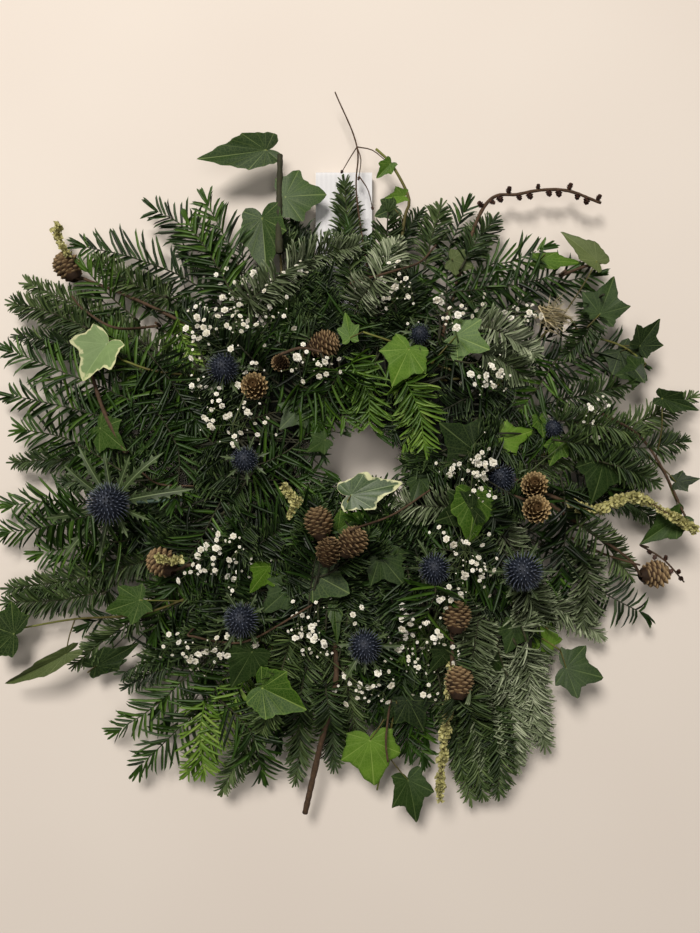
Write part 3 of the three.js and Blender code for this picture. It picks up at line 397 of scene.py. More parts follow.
def covers(points, first=None):
    """Do the points lie over something that shows, or over one of the first things only?"""
    shown = np.array(SHOWN[:first])
    apart = np.linalg.norm(points[:, None, :2] - shown[None, :, :2], axis=2)
    return ((apart < shown[:, 2]) & (points[:, None, 2] > shown[:, 3] - 3 * MM)).any(axis=1)


HOLE_LOW = np.array([-5.8, -8.7]) * MM  # the opening through the wreath's middle
HOLE_HIGH = np.array([35.0, 9.3]) * MM


def in_hole(points, reach=4.5 * MM):
    """Do the points lie in the open middle, or nearer than reach to it?"""
    return ((points[..., :2] > HOLE_LOW - reach) & (points[..., :2] < HOLE_HIGH + reach)).all(axis=-1)


# ---------- needles ----------
def needle_spray(growth, path, kind, look=0, painted_shade=0.0):
    """A shoot with needles on both sides, shorter towards its tip, and a few at the very tip."""
    total = length_of(path)
    pitch, young = kind["pitch"], kind["young"]
    # painted shade: shoots that lie under the others get darker needles
    hue = RNG.uniform(0.2, 0.8) - painted_shade
    for row, (hand, rise) in enumerate(kind["rows"]):
        at = np.arange(kind["bare"] * total, total, pitch) + pitch * row / len(kind["rows"])
        at = np.minimum(at + RNG.normal(0, pitch * 0.2, len(at)), total)
        place, way = along_path(path, at)
        share = at / total
        side = hand * unit(np.cross(way, UP))
        up = unit(np.cross(side, way) * hand)
        sweep = np.radians(kind["sweep"] * (1 - 0.42 * share**2) + RNG.normal(0, 7, len(at)))
        lift = np.radians(rise + RNG.normal(0, kind["wild"], len(at)))
        out = side * np.cos(lift)[:, None] + up * np.sin(lift)[:, None]
        point = way * np.cos(sweep)[:, None] + out * np.sin(sweep)[:, None]
        long = kind["needle"] * np.minimum(1, 0.5 + 2.4 * (1 - share)) * np.minimum(1, 0.6 + 4 * share)
        long = long * RNG.uniform(0.78, 1.12, len(at))
        normal = up + RNG.normal(0, 0.45, (len(at), 3))
        tone = np.clip(hue + RNG.normal(0, 0.2, len(at)) + young * share, 0, 1)
        free = np.ones(len(at), bool)
        for part in (0.35, 0.75):
            free &= ~covers(place + point * (long * part)[:, None])
        for part in (0, 0.35, 0.7, 1):
            free &= ~in_hole(place + point * (long * part)[:, None])
        for turn, shape in enumerate(kind["shapes"][row % 2]):
            some = free & (np.arange(len(at)) % 3 == turn)
            growth.scatter(shape, place[some], point[some], normal[some], long[some], kind["width"],
                           tone[some], look)
    tips = 4
    place, way = along_path(path, np.full(tips, total))
    point = way + RNG.normal(0, 0.28, (tips, 3)) * np.array([1, 1, 0.4])
    free = ~in_hole(place + unit(point) * kind["needle"] * 0.7)
    growth.scatter(kind["shapes"][0][0], place[free], point[free], np.tile(UP, (tips, 1))[free],
                   kind["needle"] * 0.6, kind["width"], np.clip(hue + young, 0, 1), look)
    bark = look if look == YOUNG_LOOK else BARK_LOOK
    stem(growth, path[:: max(1, len(path) // 14)], kind["stem"], kind["stem"] * 0.5, bark, 5, hue)


def needles(stations, bends):
    """Needles for the right and for the left of a shoot, each bent a little forwards along it."""
    shape, faces, shares = lamina(stations, 0.15)
    sides = []
    for hand in (-1, 1):
        made = [shape + np.outer(shares**2, [0, hand * bend, 0]) for bend in bends]
        sides.append([(points, faces, shares) for points in made])
    return sides


NEEDLE_LOOKS = ["yew needle", "shoot bark", "young yew needle", "fir needle", "blue fir needle"]
YEW_LOOK, BARK_LOOK, YOUNG_LOOK, FIR_LOOK, BLUE_LOOK = range(5)
YEW_FOOT = [(0, 0.16, 0), (0.08, 0.42, 0.006), (0.45, 0.5, 0.0)]  # share, half width and height
# kinds of shoot. sweep is the needles' angle from its way, in degrees; bare is the share without any at its
# foot; rows are their hand and rise in degrees; wild is how far the rise strays; young, how pale the tip is
YEW = {
    "plant": "yew", "look": YEW_LOOK,
    "shapes": needles(YEW_FOOT + [(0.85, 0.38, -0.03), (1, 0, -0.06)], (0.2, 1.1, 2.2)),
    "needle": 30 * MM, "width": 2.5 * MM, "pitch": 4.3 * MM, "sweep": 60, "bare": 0.14,
    "rows": [(1, 8), (-1, 8)], "wild": 11, "young": 0.2, "stem": 0.95 * MM,
}
CURVED_YEW = {
    **YEW,
    "shapes": needles(YEW_FOOT + [(0.85, 0.38, -0.05), (1, 0, -0.1)], (2.6, 3.4, 4.2)),
    "needle": 27 * MM, "sweep": 80,
}
YOUNG_YEW = {
    **YEW, "look": YOUNG_LOOK,
    "needle": 24 * MM, "width": 2.3 * MM, "pitch": 3.2 * MM, "sweep": 56, "wild": 7, "stem": 1.1 * MM,
}
FIR = {
    "plant": "fir", "look": FIR_LOOK,
    "shapes": needles([(0, 0.3, 0), (0.45, 0.5, 0.03), (0.9, 0.36, 0.02), (1, 0, 0)], (0.5, 1.2, 2.0)),
    "needle": 18 * MM, "width": 1.7 * MM, "pitch": 2.3 * MM, "sweep": 64, "bare": 0.1,
    "rows": [(1, 4), (-1, 4), (1, 30), (-1, 30)], "wild": 9, "young": 0.2, "stem": 1.2 * MM,
}
BLUE_FIR = {
    **FIR, "look": BLUE_LOOK,
    "needle": 20 * MM, "sweep": 70, "pitch": 1.9 * MM, "rows": [(1, 6), (-1, 6), (1, 38), (-1, 38)],
}

# each spray's shoots, as routes in the picture
YEW_SPRAYS = {
    "yew_spray_top_left": [
        [(200, 288), (140, 260), (86, 247)], [(212, 262), (180, 224), (158, 212)],
        [(240, 270), (222, 232), (208, 205)],
    ],
    "yew_spray_left": [
        [(130, 400), (70, 375), (14, 352)], [(130, 424), (70, 408), (14, 396)],
        [(110, 500), (60, 500), (14, 505)],
    ],
    "yew_spray_bottom_left": [
        [(200, 665), (155, 706), (122, 728)], [(215, 690), (172, 735), (142, 764)],
        [(240, 690), (216, 735), (190, 770)],
    ],
    "yew_spray_top_right": [
        [(510, 305), (550, 286), (590, 276)], [(480, 275), (510, 262), (540, 250)],
        [(550, 365), (600, 352), (634, 360)], [(448, 260), (456, 232), (464, 212)],
    ],
    "yew_spray_centre": [[(362, 380), (366, 405), (371, 425)], [(415, 390), (414, 420), (404, 444)]],
    "yew_spray_left_hanging": [
        [(170, 400), (130, 360), (112, 336)], [(200, 540), (172, 590), (156, 628)],
        [(266, 480), (296, 476), (320, 468)], [(266, 462), (292, 448), (312, 430)],
    ],
}
FIR_SPRAYS = {
    "fir_spray_left_upper": [[(150, 348), (90, 312), (30, 284)], [(140, 368), (80, 347), (22, 336)]],
    "fir_spray_left_lower": [
        [(120, 470), (66, 460), (18, 462)], [(130, 565), (70, 580), (12, 588)],
        [(150, 606), (112, 634), (78, 662)],
    ],
    "fir_spray_bottom": [
        [(270, 700), (245, 748), (224, 786)], [(300, 700), (300, 750), (296, 776)],
        [(345, 680), (352, 712), (358, 738)], [(322, 590), (330, 550), (336, 514)],
    ],
    "fir_spray_bottom_right": [
        [(490, 690), (506, 730), (516, 762)], [(445, 700), (462, 755), (470, 796)],
        [(505, 650), (530, 700), (544, 742)], [(470, 690), (486, 740), (494, 780)],
    ],
    "fir_spray_right": [
        [(560, 555), (600, 590), (640, 612)], [(530, 590), (565, 612), (596, 632)],
        [(570, 450), (640, 422), (690, 398)], [(570, 500), (620, 500), (655, 520)],
        [(450, 506), (420, 506), (396, 502)],
    ],
    "fir_spray_top": [[(350, 270), (347, 224), (345, 186)], [(390, 270), (404, 236), (418, 216)]],
}
OTHER_KINDS = {  # shoots that differ from the rest of their spray, by their number in it
    "yew_spray_centre": {0: YOUNG_YEW, 1: YOUNG_YEW},
    "yew_spray_bottom_left": {2: YOUNG_YEW},
    "fir_spray_bottom_right": {0: BLUE_FIR, 2: BLUE_FIR, 3: BLUE_FIR},
    "fir_spray_right": {0: CURVED_YEW, 1: BLUE_FIR, 4: BLUE_FIR},
}
# more shoots on top that the picture shows: kind and routes
MORE_SPRAYS = [
    (YOUNG_YEW, [[(176, 312), (184, 340), (196, 374)]]),
    (YEW, [[(436, 590), (424, 622), (404, 652)]]),
    (BLUE_FIR, [
        [(250, 300), (300, 262), (356, 246)], [(360, 300), (384, 268), (396, 246)],
        [(470, 322), (500, 332), (532, 352)], [(466, 344), (494, 356), (524, 376)],
    ]),
    (YEW, [[(556, 360), (540, 384), (522, 408)]]),
    (FIR, [[(596, 300), (588, 330), (570, 352)]]),
    (YEW, [[(150, 400), (178, 450), (176, 500)], [(560, 470), (566, 520), (560, 580)]]),
    (BLUE_FIR, [
        [(512, 600), (528, 650), (530, 720)], [(480, 610), (474, 650), (470, 690)],
        [(496, 640), (508, 690), (512, 750)], [(514, 640), (532, 690), (534, 728)],
        [(526, 590), (538, 620), (542, 660)], [(504, 670), (514, 720), (514, 758)],
    ]),
    (FIR, [[(490, 700), (500, 750), (498, 790)], [(456, 660), (456, 720), (462, 770)]]),
    (YEW, [[(130, 540), (90, 545), (44, 552)], [(120, 470), (70, 440), (26, 430)]]),
    (YOUNG_YEW, [[(205, 700), (200, 735), (204, 768)]]),
    (YEW, [[(160, 330), (180, 338), (200, 360)]]),
    (YOUNG_YEW, [[(352, 364), (368, 394), (369, 422)], [(406, 382), (419, 410), (424, 444)]]),
    (YEW, [[(340, 372), (326, 396), (318, 424)], [(236, 300), (212, 258), (190, 226)]]),
    (FIR, [
        [(170, 300), (130, 282), (100, 262)], [(556, 400), (590, 394), (626, 384)],
        [(560, 420), (600, 426), (640, 432)], [(556, 440), (590, 446), (626, 456)],
    ]),
    (YEW, [[(148, 352), (170, 380), (196, 420)]]),
    (FIR, [
        [(600, 440), (640, 448), (680, 442)], [(596, 460), (630, 470), (652, 482)],
        [(580, 525), (606, 545), (628, 574)], [(378, 276), (386, 240), (388, 212)],
        [(424, 270), (432, 236), (440, 210)], [(460, 270), (476, 242), (492, 222)],
    ]),
    (YEW, [[(90, 515), (50, 526), (10, 532)]]),
    (FIR, [[(110, 590), (60, 600), (10, 602)], [(90, 330), (50, 312), (16, 304)]]),
    (YEW, [[(140, 322), (112, 298), (88, 272)]]),
    (FIR, [[(326, 690), (332, 730), (334, 762)]]),
    (YEW, [[(452, 292), (510, 286), (566, 272)]]),
    (FIR, [[(470, 700), (476, 750), (482, 792)]]),
    (BLUE_FIR, [[(580, 540), (588, 580), (584, 620)]]),
    (YEW, [
        [(250, 420), (280, 412), (312, 420)], [(300, 385), (330, 400), (346, 420)],
        [(220, 700), (250, 730), (262, 770)],
    ]),
    (FIR, [[(290, 640), (276, 690), (262, 730)]]),
]
SPRAY_REACH = 13 * MM  # how close to a shoot on top no other needle covers it


def grow_sprays():
    paths = []
    for plain, sprays in ((YEW, YEW_SPRAYS), (FIR, FIR_SPRAYS)):
        for name, routes in sprays.items():
            growth = Growth()
            for number, route in enumerate(routes):
                kind = OTHER_KINDS.get(name, {}).get(number, plain)
                paths.append(curve(lie(name, route), 4 * MM))
                needle_spray(growth, paths[-1], kind, kind["look"])
            growth.piece(name + "_needles", NEEDLE_LOOKS, plain["plant"] + "_needles", name)
    tops = {"yew": Growth(), "fir": Growth()}
    for kind, routes in MORE_SPRAYS:
        for route in routes:
            paths.append(curve(laid(route, 3 * MM), 4 * MM))
            needle_spray(tops[kind["plant"]], paths[-1], kind, kind["look"])
    for plant, growth in tops.items():
        growth.piece(plant + "_top_shoots", NEEDLE_LOOKS, plant + "_needles")
    for path in paths:
        show_path(path[len(path) // 4 :: 3], 3 * MM, SPRAY_REACH)


# ---------- fill: the many short shoots between the main ones ----------
# how far the foliage reaches from the ring's middle, in the picture's pixels, by direction in degrees
OUTLINE = [(0, 300), (25, 300), (45, 300), (70, 272), (90, 268), (110, 290), (135, 335), (155, 345),
           (180, 340), (205, 318), (225, 345), (245, 330), (270, 290), (290, 320), (315, 300), (335, 292),
           (360, 300)]
FOLIAGE_SCALE = 0.95  # a pixel is this much smaller at the foliage's usual height
# by part of the ring: its middle and half its width in degrees, yew and fir shoots outwards, then inwards
FILL = {
    "right": (0, 34, 16, 16, 5, 5),
    "top_right": (56, 24, 11, 7, 2, 2),
    "top_left": (114, 26, 18, 16, 4, 4),
    "upper_left": (156, 20, 22, 16, 3, 3),
    "lower_left": (198, 24, 24, 16, 4, 3),
    "bottom_left": (240, 22, 26, 20, 5, 5),
    "bottom": (286, 28, 14, 14, 6, 6),
}
FILL_PAINTED_SHADE = 0.3  # painted shade: how much darker the fill is than the shoots on top, for the shade it lies in under them


def outline_radius(angle):
    degrees, reach = zip(*OUTLINE)
    return np.interp(np.degrees(angle) % 360, degrees, reach) * METRES_PER_PIXEL * FOLIAGE_SCALE


def fill_path(angle, inward):
    """A short shoot from the moss, outwards over its rim or inwards over the middle."""
    start = RING + (RING_RADIUS + RNG.uniform(-30, 34) * MM) * heading(angle)
    if inward:
        target = angle + RNG.uniform(-0.9, 0.9)
        reach = RNG.uniform(22, 60) * MM
    else:
        target = angle + RNG.normal(0, 0.25)
        reach = outline_radius(target) * RNG.uniform(0.6, 0.95)
    end = RING + reach * heading(target)
    bend = (start + end) / 2 + RNG.normal(0, 7 * MM, 2)
    plan = curve(np.array([start, bend, end]), 5 * MM)
    low = free_height(plan) + 2 * MM
    high = np.maximum(low, over(CANOPY, plan) - 6 * MM)
    return np.c_[plan, softened(low + (high - low) * RNG.uniform(0, 0.85), 4)]


def grow_fill():
    for part, (middle, half, *counts) in FILL.items():
        for number, count in enumerate(counts):
            kind = (YEW, FIR)[number % 2]
            plant = kind["plant"]
            inward = number > 1
            growth = Growth()
            while count:
                path = fill_path(math.radians(middle + RNG.uniform(-half, half)), inward)
                if in_hole(path, 3 * MM).any() or length_of(path) < 30 * MM:
                    continue
                needle_spray(growth, path, kind, painted_shade=FILL_PAINTED_SHADE)
                count -= 1
            name = f"{plant}_fill_{part}" + ("_inner" if inward else "")
            growth.piece(name, [plant + " needle", "shoot bark"], plant + "_needles")


# ---------- ivy ----------
# how far a leaf's edge lies from its base, by the angle from its midrib, with lobes and without
IVY_EDGE = [(0, 1.0), (6, 0.9), (14, 0.76), (24, 0.64), (35, 0.58), (46, 0.62), (57, 0.7), (64, 0.63),
            (76, 0.5), (90, 0.43), (102, 0.44), (114, 0.47), (128, 0.37), (146, 0.22), (165, 0.1),
            (180, 0.05)]
WHOLE_EDGE = [(0, 1.0), (8, 0.88), (18, 0.76), (30, 0.64), (45, 0.55), (60, 0.5), (80, 0.44), (100, 0.42),
              (120, 0.38), (140, 0.27), (160, 0.12), (180, 0.05)]
IVY_VEINS = [0, 57, -57, 114, -114]
IVY_SIDE_VEINS = [24, -24, 38, -38, 80, -80, 96, -96]
PETIOLE_RADIUS = 0.65 * MM


def ivy_template():
    """An ivy leaf of length 1, as rays from its base. Its veins run along some of the rays."""
    rays = set(range(-180, 180, 8))
    for vein in IVY_VEINS + IVY_SIDE_VEINS:
        rays -= {ray for ray in rays if abs(ray - vein) < 4}
        rays |= {vein, vein - 1.5, vein + 1.5}
    rays = np.array(sorted(rays))
    rings = np.array([0.06, 0.18, 0.32, 0.46, 0.6, 0.74, 0.86, 0.95, 1.0])
    strength = np.where(np.isin(rays, IVY_VEINS), 1.0, np.where(np.isin(rays, IVY_SIDE_VEINS), 0.45, 0.0))
    count = len(rays)
    heart = [(0, 1 + k, 1 + (k + 1) % count) for k in range(count)]
    vein = np.r_[1, (strength[None] * (1 - 0.45 * rings[:, None])).ravel()]
    faces = [grid(len(rings), count, closed=True) + 1, heart]
    return rays, rings, faces, np.r_[0, np.repeat(rings, count)], vein


IVY_RAYS, IVY_RINGS, IVY_FACES, IVY_SHARES, IVY_VEIN = ivy_template()
WHOLE, CUT = (np.interp(np.abs(IVY_RAYS), *zip(*edge)) for edge in (WHOLE_EDGE, IVY_EDGE))
OFF_VEIN = np.min([np.abs(IVY_RAYS - vein) for vein in IVY_VEINS], axis=0)


def ivy_leaf(growth, base, tip, wide, look=0, fold=0.0, lobed=None, tone=None):
    """A leaf from its base to its tip, its face up. It folds along its midrib and ripples at its edge."""
    lobed = RNG.uniform(0.6, 1.4) if lobed is None else lobed
    edge = (WHOLE + (CUT - WHOLE) * lobed) * (1 + 0.03 * np.sin(IVY_RAYS * 0.31 + RNG.uniform(0, 6)))
    r = edge[None] * IVY_RINGS[:, None]
    angles = np.radians(IVY_RAYS)
    x, y = r * np.cos(angles), r * np.sin(angles)
    # the blade swells between its veins
    swell = 0.014 * np.sin(np.radians(np.minimum(OFF_VEIN, 28) * 6.4)) * r
    ripple = 0.04 * r**2 * np.sin(angles * RNG.integers(3, 6) + RNG.uniform(0, 6))
    bend = RNG.uniform(-0.1, 0.22)
    z = swell + ripple - bend * x**2 + 0.12 * x
    flat = np.vstack([[0, 0, 0], np.stack([x, y, z], axis=-1).reshape(-1, 3)])
    across = flat[:, 1] * wide
    high = flat[:, 2] + np.abs(flat[:, 1]) * wide * math.tan(math.radians(fold))
    along = tip - base
    length = np.linalg.norm(along)
    along = along / length
    side = unit(np.cross(UP, along))
    side = unit(side + RNG.uniform(-0.3, 0.3) * UP)
    up = np.cross(along, side)
    placed = base + (np.outer(flat[:, 0], along) + np.outer(across, side) + np.outer(high, up)) * length
    placed[:, 2] = np.maximum(placed[:, 2], 1 * MM)
    growth.add(placed, IVY_FACES, RNG.uniform(0, 1) if tone is None else tone, IVY_SHARES, look, IVY_VEIN)


def petiole(growth, start, base, arch=0.12):
    """A leaf's stalk, arched up, or down where arch is below 0."""
    middle = (start + base) / 2 + UP * arch * np.linalg.norm(base - start)
    stem(growth, curve([start, middle, base], 5 * MM), PETIOLE_RADIUS, PETIOLE_RADIUS * 0.8, 1, 5)


# stem of the trail; then for each leaf: where its stalk starts, its base, its tip, width, fold, look, and how
# deep its lobes are cut (0 whole, 1 lobed) and its tone (0 dark, 1 pale)
IVY = {
    "ivy_trail_top_left": ([(279, 232), (280, 158)], [
        ((280, 158), (266, 150), (201, 163), 0.56, 14, 0, 0.3),
        ((279, 200), (285, 197), (328, 195), 1.15, 0, 0, 0.9),
        ((279, 232), (262, 218), (270, 277), 0.8, 6, 0, 0.6),
    ]),
    "ivy_trail_top": ([(404, 222), (409, 199), (392, 165), (376, 149)], [
        ((392, 165), (390, 164), (376, 180), 0.7, 20, 4),
        ((409, 199), (404, 196), (384, 198), 0.7, 25, 4),
        ((404, 222), (394, 208), (374, 218), 1, 10, 0),
    ]),
    "ivy_trail_right_upper": ([(560, 320), (581, 333), (622, 346), (646, 364)], [
        ((560, 320), (597, 261), (561, 232), 0.52, 18, 3, 0.5),
        ((581, 333), (600, 314), (614, 277), 1.0, 0, 2, 1.3),
        ((622, 346), (640, 346), (656, 320), 0.9, 12, 2),
        ((646, 364), (640, 370), (614, 376), 1, 0, 2),
    ]),
    "ivy_trail_right": ([(600, 440), (655, 462), (676, 500)], [
        ((655, 462), (662, 398), (698, 410), 0.5, 25, 2),
        ((655, 462), (676, 482), (698, 480), 0.8, 0, 2),
        ((676, 500), (678, 518), (638, 544), 0.6, 30, 2),
        ((600, 440), (604, 458), (592, 504), 1.05, 0, 2),
    ]),
    "ivy_leaves_top_centre": ([(467, 376), (432, 363), (397, 344), (363, 332)], [
        ((397, 344), (409, 349), (391, 386), 1.1, 0, 4, 0.9),
        ((432, 363), (456, 336), (490, 352), 1.1, 0, 4),
        ((363, 332), (350, 338), (346, 314), 0.7, 10, 4),
    ]),
    "ivy_leaves_right_centre": ([], [
        (None, (476, 452), (438, 424), 1.1, 0, 2, 0.9),
        (None, (474, 496), (470, 544), 1.0, 0, 4, 0.5),
        (None, (472, 508), (436, 520), 1, 0, 2),
        (None, (496, 442), (536, 430), 0.7, 0, 4),
    ]),
    "ivy_leaves_lower_centre": ([], [
        (None, (312, 573), (350, 594), 1.1, 0, 0),
        (None, (380, 556), (404, 586), 1, 0, 2),
        (None, (338, 530), (364, 512), 0.8, 10, 4),
        (None, (290, 588), (262, 612), 1, 0, 2),
    ]),
    "ivy_leaves_lower_left": ([], [
        (None, (252, 652), (232, 684), 1, 0, 2),
        (None, (262, 688), (307, 708), 1.0, 8, 4, 0.6),
        (None, (140, 600), (104, 612), 0.9, 0, 0),
    ]),
    "ivy_trail_bottom": ([(393, 703), (385, 751), (377, 790)], [
        ((393, 703), (370, 740), (374, 786), 1.1, 0, 4),
        ((385, 751), (408, 780), (418, 824), 0.8, 8, 2),
        ((393, 703), (408, 700), (424, 731), 1, 0, 2),
    ]),
    "ivy_leaves_right_lower": ([(530, 630), (560, 650)], [
        ((560, 650), (566, 668), (604, 678), 1.1, 0, 2),
        ((530, 630), (516, 626), (506, 654), 1, 0, 2),
        ((560, 650), (552, 644), (532, 628), 0.9, 0, 4),
    ]),
    "ivy_trail_left": ([(150, 612), (75, 619), (22, 628)], [
        ((22, 628), (14, 634), (-21, 620), 1.45, 0, 0, 0.8),
        ((75, 619), (66, 654), (0, 688), 0.24, 24, 3, 0.4),
    ]),
    "ivy_leaf_cream_edged_left": ([(160, 372), (122, 360)], [
        ((122, 360), (107, 344), (81, 382), 1.0, 24, 0, 1.1, 0.95),
    ]),
    "ivy_leaf_cream_edged_centre": ([(348, 500)], [
        ((348, 500), (351, 495), (404, 483), 0.66, 4, 0, 0.8, 0.15),
    ]),
}
THICK_STEMS = {"ivy_trail_top": 1.7}  # radius in mm, where it isn't the usual one
RAISED_LEAVES = {"ivy_leaves_lower_left": 9}  # mm above their solid, where it isn't 1 mm
# more leaves on top that the picture shows: base, tip, width, look
MORE_IVY = [
    ((300, 408), (280, 430), 1.0, 2), ((452, 260), (474, 268), 1.0, 3), ((420, 478), (412, 504), 0.8, 2),
    ((100, 428), (128, 450), 0.9, 0), ((560, 442), (548, 466), 0.9, 4), ((540, 418), (544, 438), 0.9, 4),
    ((270, 566), (246, 596), 0.6, 4), ((334, 602), (338, 644), 0.35, 0), ((544, 626), (532, 650), 0.8, 4),
    ((396, 700), (384, 722), 0.9, 2), ((448, 650), (430, 668), 0.8, 2), ((490, 656), (508, 672), 0.8, 2),
    ((96, 666), (140, 642), 0.5, 2), ((620, 352), (646, 384), 0.9, 2), ((325, 440), (306, 452), 0.9, 2),
    ((540, 260), (584, 263), 0.35, 4),
]
IVY_LOOKS = ["ivy leaf", "ivy stem", "dark ivy leaf", "grey ivy leaf", "bright ivy leaf"]


def grow_ivy():
    for name, (route, leaves) in IVY.items():
        growth = Growth()
        if route:
            thick = THICK_STEMS.get(name, 1.2)
            stem(growth, curve(lie(name, route), 6 * MM), thick * MM, 0.7 * thick * MM, 1, knobbly=0.06)
        for start, base, tip, wide, fold, look, *more in leaves:
            base_z, tip_z = height_at(name, [base, tip], 3) + RAISED_LEAVES.get(name, 1) * MM
            at, end = seen(*base, base_z), seen(*tip, tip_z)
            ivy_leaf(growth, at, end, wide, look, fold, *more)
            show((at + end) / 2, np.linalg.norm(end - at) * 0.42)
            root = seen(*start, height_at(name, [start], 3)[0]) if start else peg_of(name)
            petiole(growth, root, at, 0.12 if start else -0.12)
        cream = "cream_edged" in name
        looks = ["cream-edged ivy leaf", "ivy stem"] if cream else IVY_LOOKS
        growth.piece(name + "_leaves", looks, "ivy_cream_edged" if cream else "ivy_leaf", name)
    growth = Growth()
    for base, tip, wide, look in MORE_IVY:
        at, end = laid([base, tip], 4 * MM, foot=False)[[0, -1]]
        ivy_leaf(growth, at, end, wide, look)
        show((at + end) / 2, np.linalg.norm(end - at) * 0.4)
        petiole(growth, at * [1, 1, 0] + UP * (MOSS_TOP - PEG_SINK), at)
    growth.piece("ivy_more_leaves", IVY_LOOKS, "ivy_leaf")


# ---------- sea holly ----------
# each head's middle in the picture, its radius and its bracts' reaches in mm
HOLLY = {
    "sea_holly_left": ((114, 503), 17, [52, 40, 44, 40, 46, 44, 38, 46, 40]),
    "sea_holly_lower_left": ((242, 619), 14, [30, 24, 28, 24, 30, 24]),
    "sea_holly_lower_right": ((434, 568), 13, [28, 24, 28, 22, 28, 24]),
    "sea_holly_right": ((521, 571), 16, [30, 28, 26, 30, 26, 28]),
    "sea_holly_bottom": ((365, 645), 14, [32, 26, 30, 24, 34, 26]),
    "sea_holly_upper_left": ((224, 369), 13, [26, 22, 28, 22, 26, 24]),
    "sea_holly_top": ((420, 334), 9, []),
    "sea_holly_centre_right": ((500, 478), 13, []),
    "sea_holly_far_right": ((553, 428), 9, []),
    "sea_holly_centre_left": ((245, 460), 11, []),
}
HERO_BRACTS = [(78, 445), (64, 465), (104, 452), (130, 455), (164, 452), (194, 489), (44, 518), (63, 558),
               (99, 563), (148, 496), (128, 538), (84, 480), (150, 520)]  # tips round the largest head
BRACT_ACROSS = (-1, -0.22, 0, 0.22, 1)
FLORET_FOOT = 0.7396  # how far out in a head its florets start, in shares of its radius
HEAD_CORE = 0.76  # radius of a head's dark core, in the same shares


def spike_template():
    """A four-sided spike of length 1 and width 1, widest 0.3 of the way up."""
    points = [(0, 0.22, 0), (0, 0, 0.03), (0, -0.22, 0), (0, 0, -0.03)]
    points += [(0.3, 0.5, 0), (0.3, 0, 0.07), (0.3, -0.5, 0), (0.3, 0, -0.07), (1, 0, 0)]
    tris = [(4 + k, 4 + (k + 1) % 4, 8) for k in range(4)]
    return np.array(points), [grid(2, 4, closed=True, flipped=True), tris], np.repeat([0, 0.3, 1], [4, 4, 1])


SPIKE = spike_template()


def holly_head(growth, centre, radius):
    """A dome of close spiky florets on a dark core."""
    count = int(135 * (radius / 0.015) ** 1.2)
    k = np.arange(count) + 0.5
    high = 1 - 1.25 * k / count  # from the crown to a little below the middle
    around = k * GOLDEN_ANGLE
    flat = np.sqrt(np.maximum(0, 1 - high**2))
    way = np.stack([flat * np.cos(around), flat * np.sin(around), high], axis=1)
    point = way * np.array([1, 1, 0.9]) + UP * 0.25
    foot = centre + way * radius * FLORET_FOOT
    long = radius * RNG.uniform(0.3, 0.42, count)
    normal = np.cross(way, UP + 0.01)
    growth.scatter(SPIKE, foot, point, normal, long, radius * 0.15, RNG.uniform(0, 1, count))
    rows, columns = 9, 16
    core = []
    for row in range(rows):
        latitude = math.radians(-35 + 125 * row / (rows - 1))
        for column in range(columns):
            level = heading(2 * math.pi * column / columns) * math.cos(latitude)
            core.append(centre + radius * HEAD_CORE * np.array([*level, math.sin(latitude)]))
    growth.add(core, [grid(rows, columns, closed=True, flipped=True)], 0.3, 0.0)


def bract(growth, base, tip, width, spines=5, look=0):
    """A stiff narrow bract with forward spines on both edges and a raised pale midrib."""
    along = tip - base
    length = np.linalg.norm(along)
    along = along / length
    arch = RNG.uniform(-0.02, 0.12)
    side = unit(np.cross(UP, along))
    side = unit(side + np.cross(along, side) * RNG.uniform(-0.4, 0.4))
    up = np.cross(along, side)
    stations, row = 2 * spines + 2, len(BRACT_ACROSS)

    def half(t):
        return width * (0.25 + 1.5 * t) * (1 - t) ** 0.8 * 1.25

    def rise(t):
        return arch * length * math.sin(math.pi * t)

    points, shares, veins = [], [], []
    for station in range(stations + 1):
        t = station / stations
        for across in BRACT_ACROSS:
            high = rise(t) + 0.3 * abs(across) * half(t)
            points.append(base + along * length * t + side * across * half(t) + up * high)
            shares.append(t)
            veins.append(1.0 if across == 0 else 0.0)
    tris = []
    for station in range(1, stations - 1, 2):
        t = (station + 0.5) / stations
        spine = width * (1.1 - 0.5 * t)
        for across, corner in ((-1, 0), (1, row - 1)):
            apex = base + along * (length * t + spine * 0.9) + side * across * (half(t) + spine)
            points.append(apex + up * (spine * RNG.uniform(0.1, 0.7) + rise(t)))
            shares.append(1.0)
            veins.append(0.4)
            a, b = row * station + corner, row * (station + 1) + corner
            tris.append((a, b, len(points) - 1) if across > 0 else (b, a, len(points) - 1))
    growth.add(points, [grid(stations + 1, row), tris], RNG.uniform(0, 1), shares, look, veins)


def grow_plain_holly(name, pixel, radius):
    """A small head, a ring of seven short bracts and its stem, as one piece."""
    growth = Growth()
    centre = seen(*pixel, height_at(name, [pixel, (pixel[0] + 3, pixel[1])], 10).max())
    below = centre - UP * radius * 0.4
    holly_head(growth, centre, radius)
    show(below, radius * 1.05)
    stem(growth, curve([peg_of(name), centre - UP * 4 * MM], 6 * MM), 1.5 * MM, 1.5 * MM, 1)
    for k in range(7):
        way = heading(k * 2 * math.pi / 7 + 0.3, 0)
        bract(growth, below, centre + way * radius * 1.9 - UP * radius * 0.1, 1.6 * MM, 3, 2)
    looks = ["sea holly floret", "sea holly stem", "sea holly bract"]
    growth.piece(name + "_florets", looks, "sea_holly_heads", name)


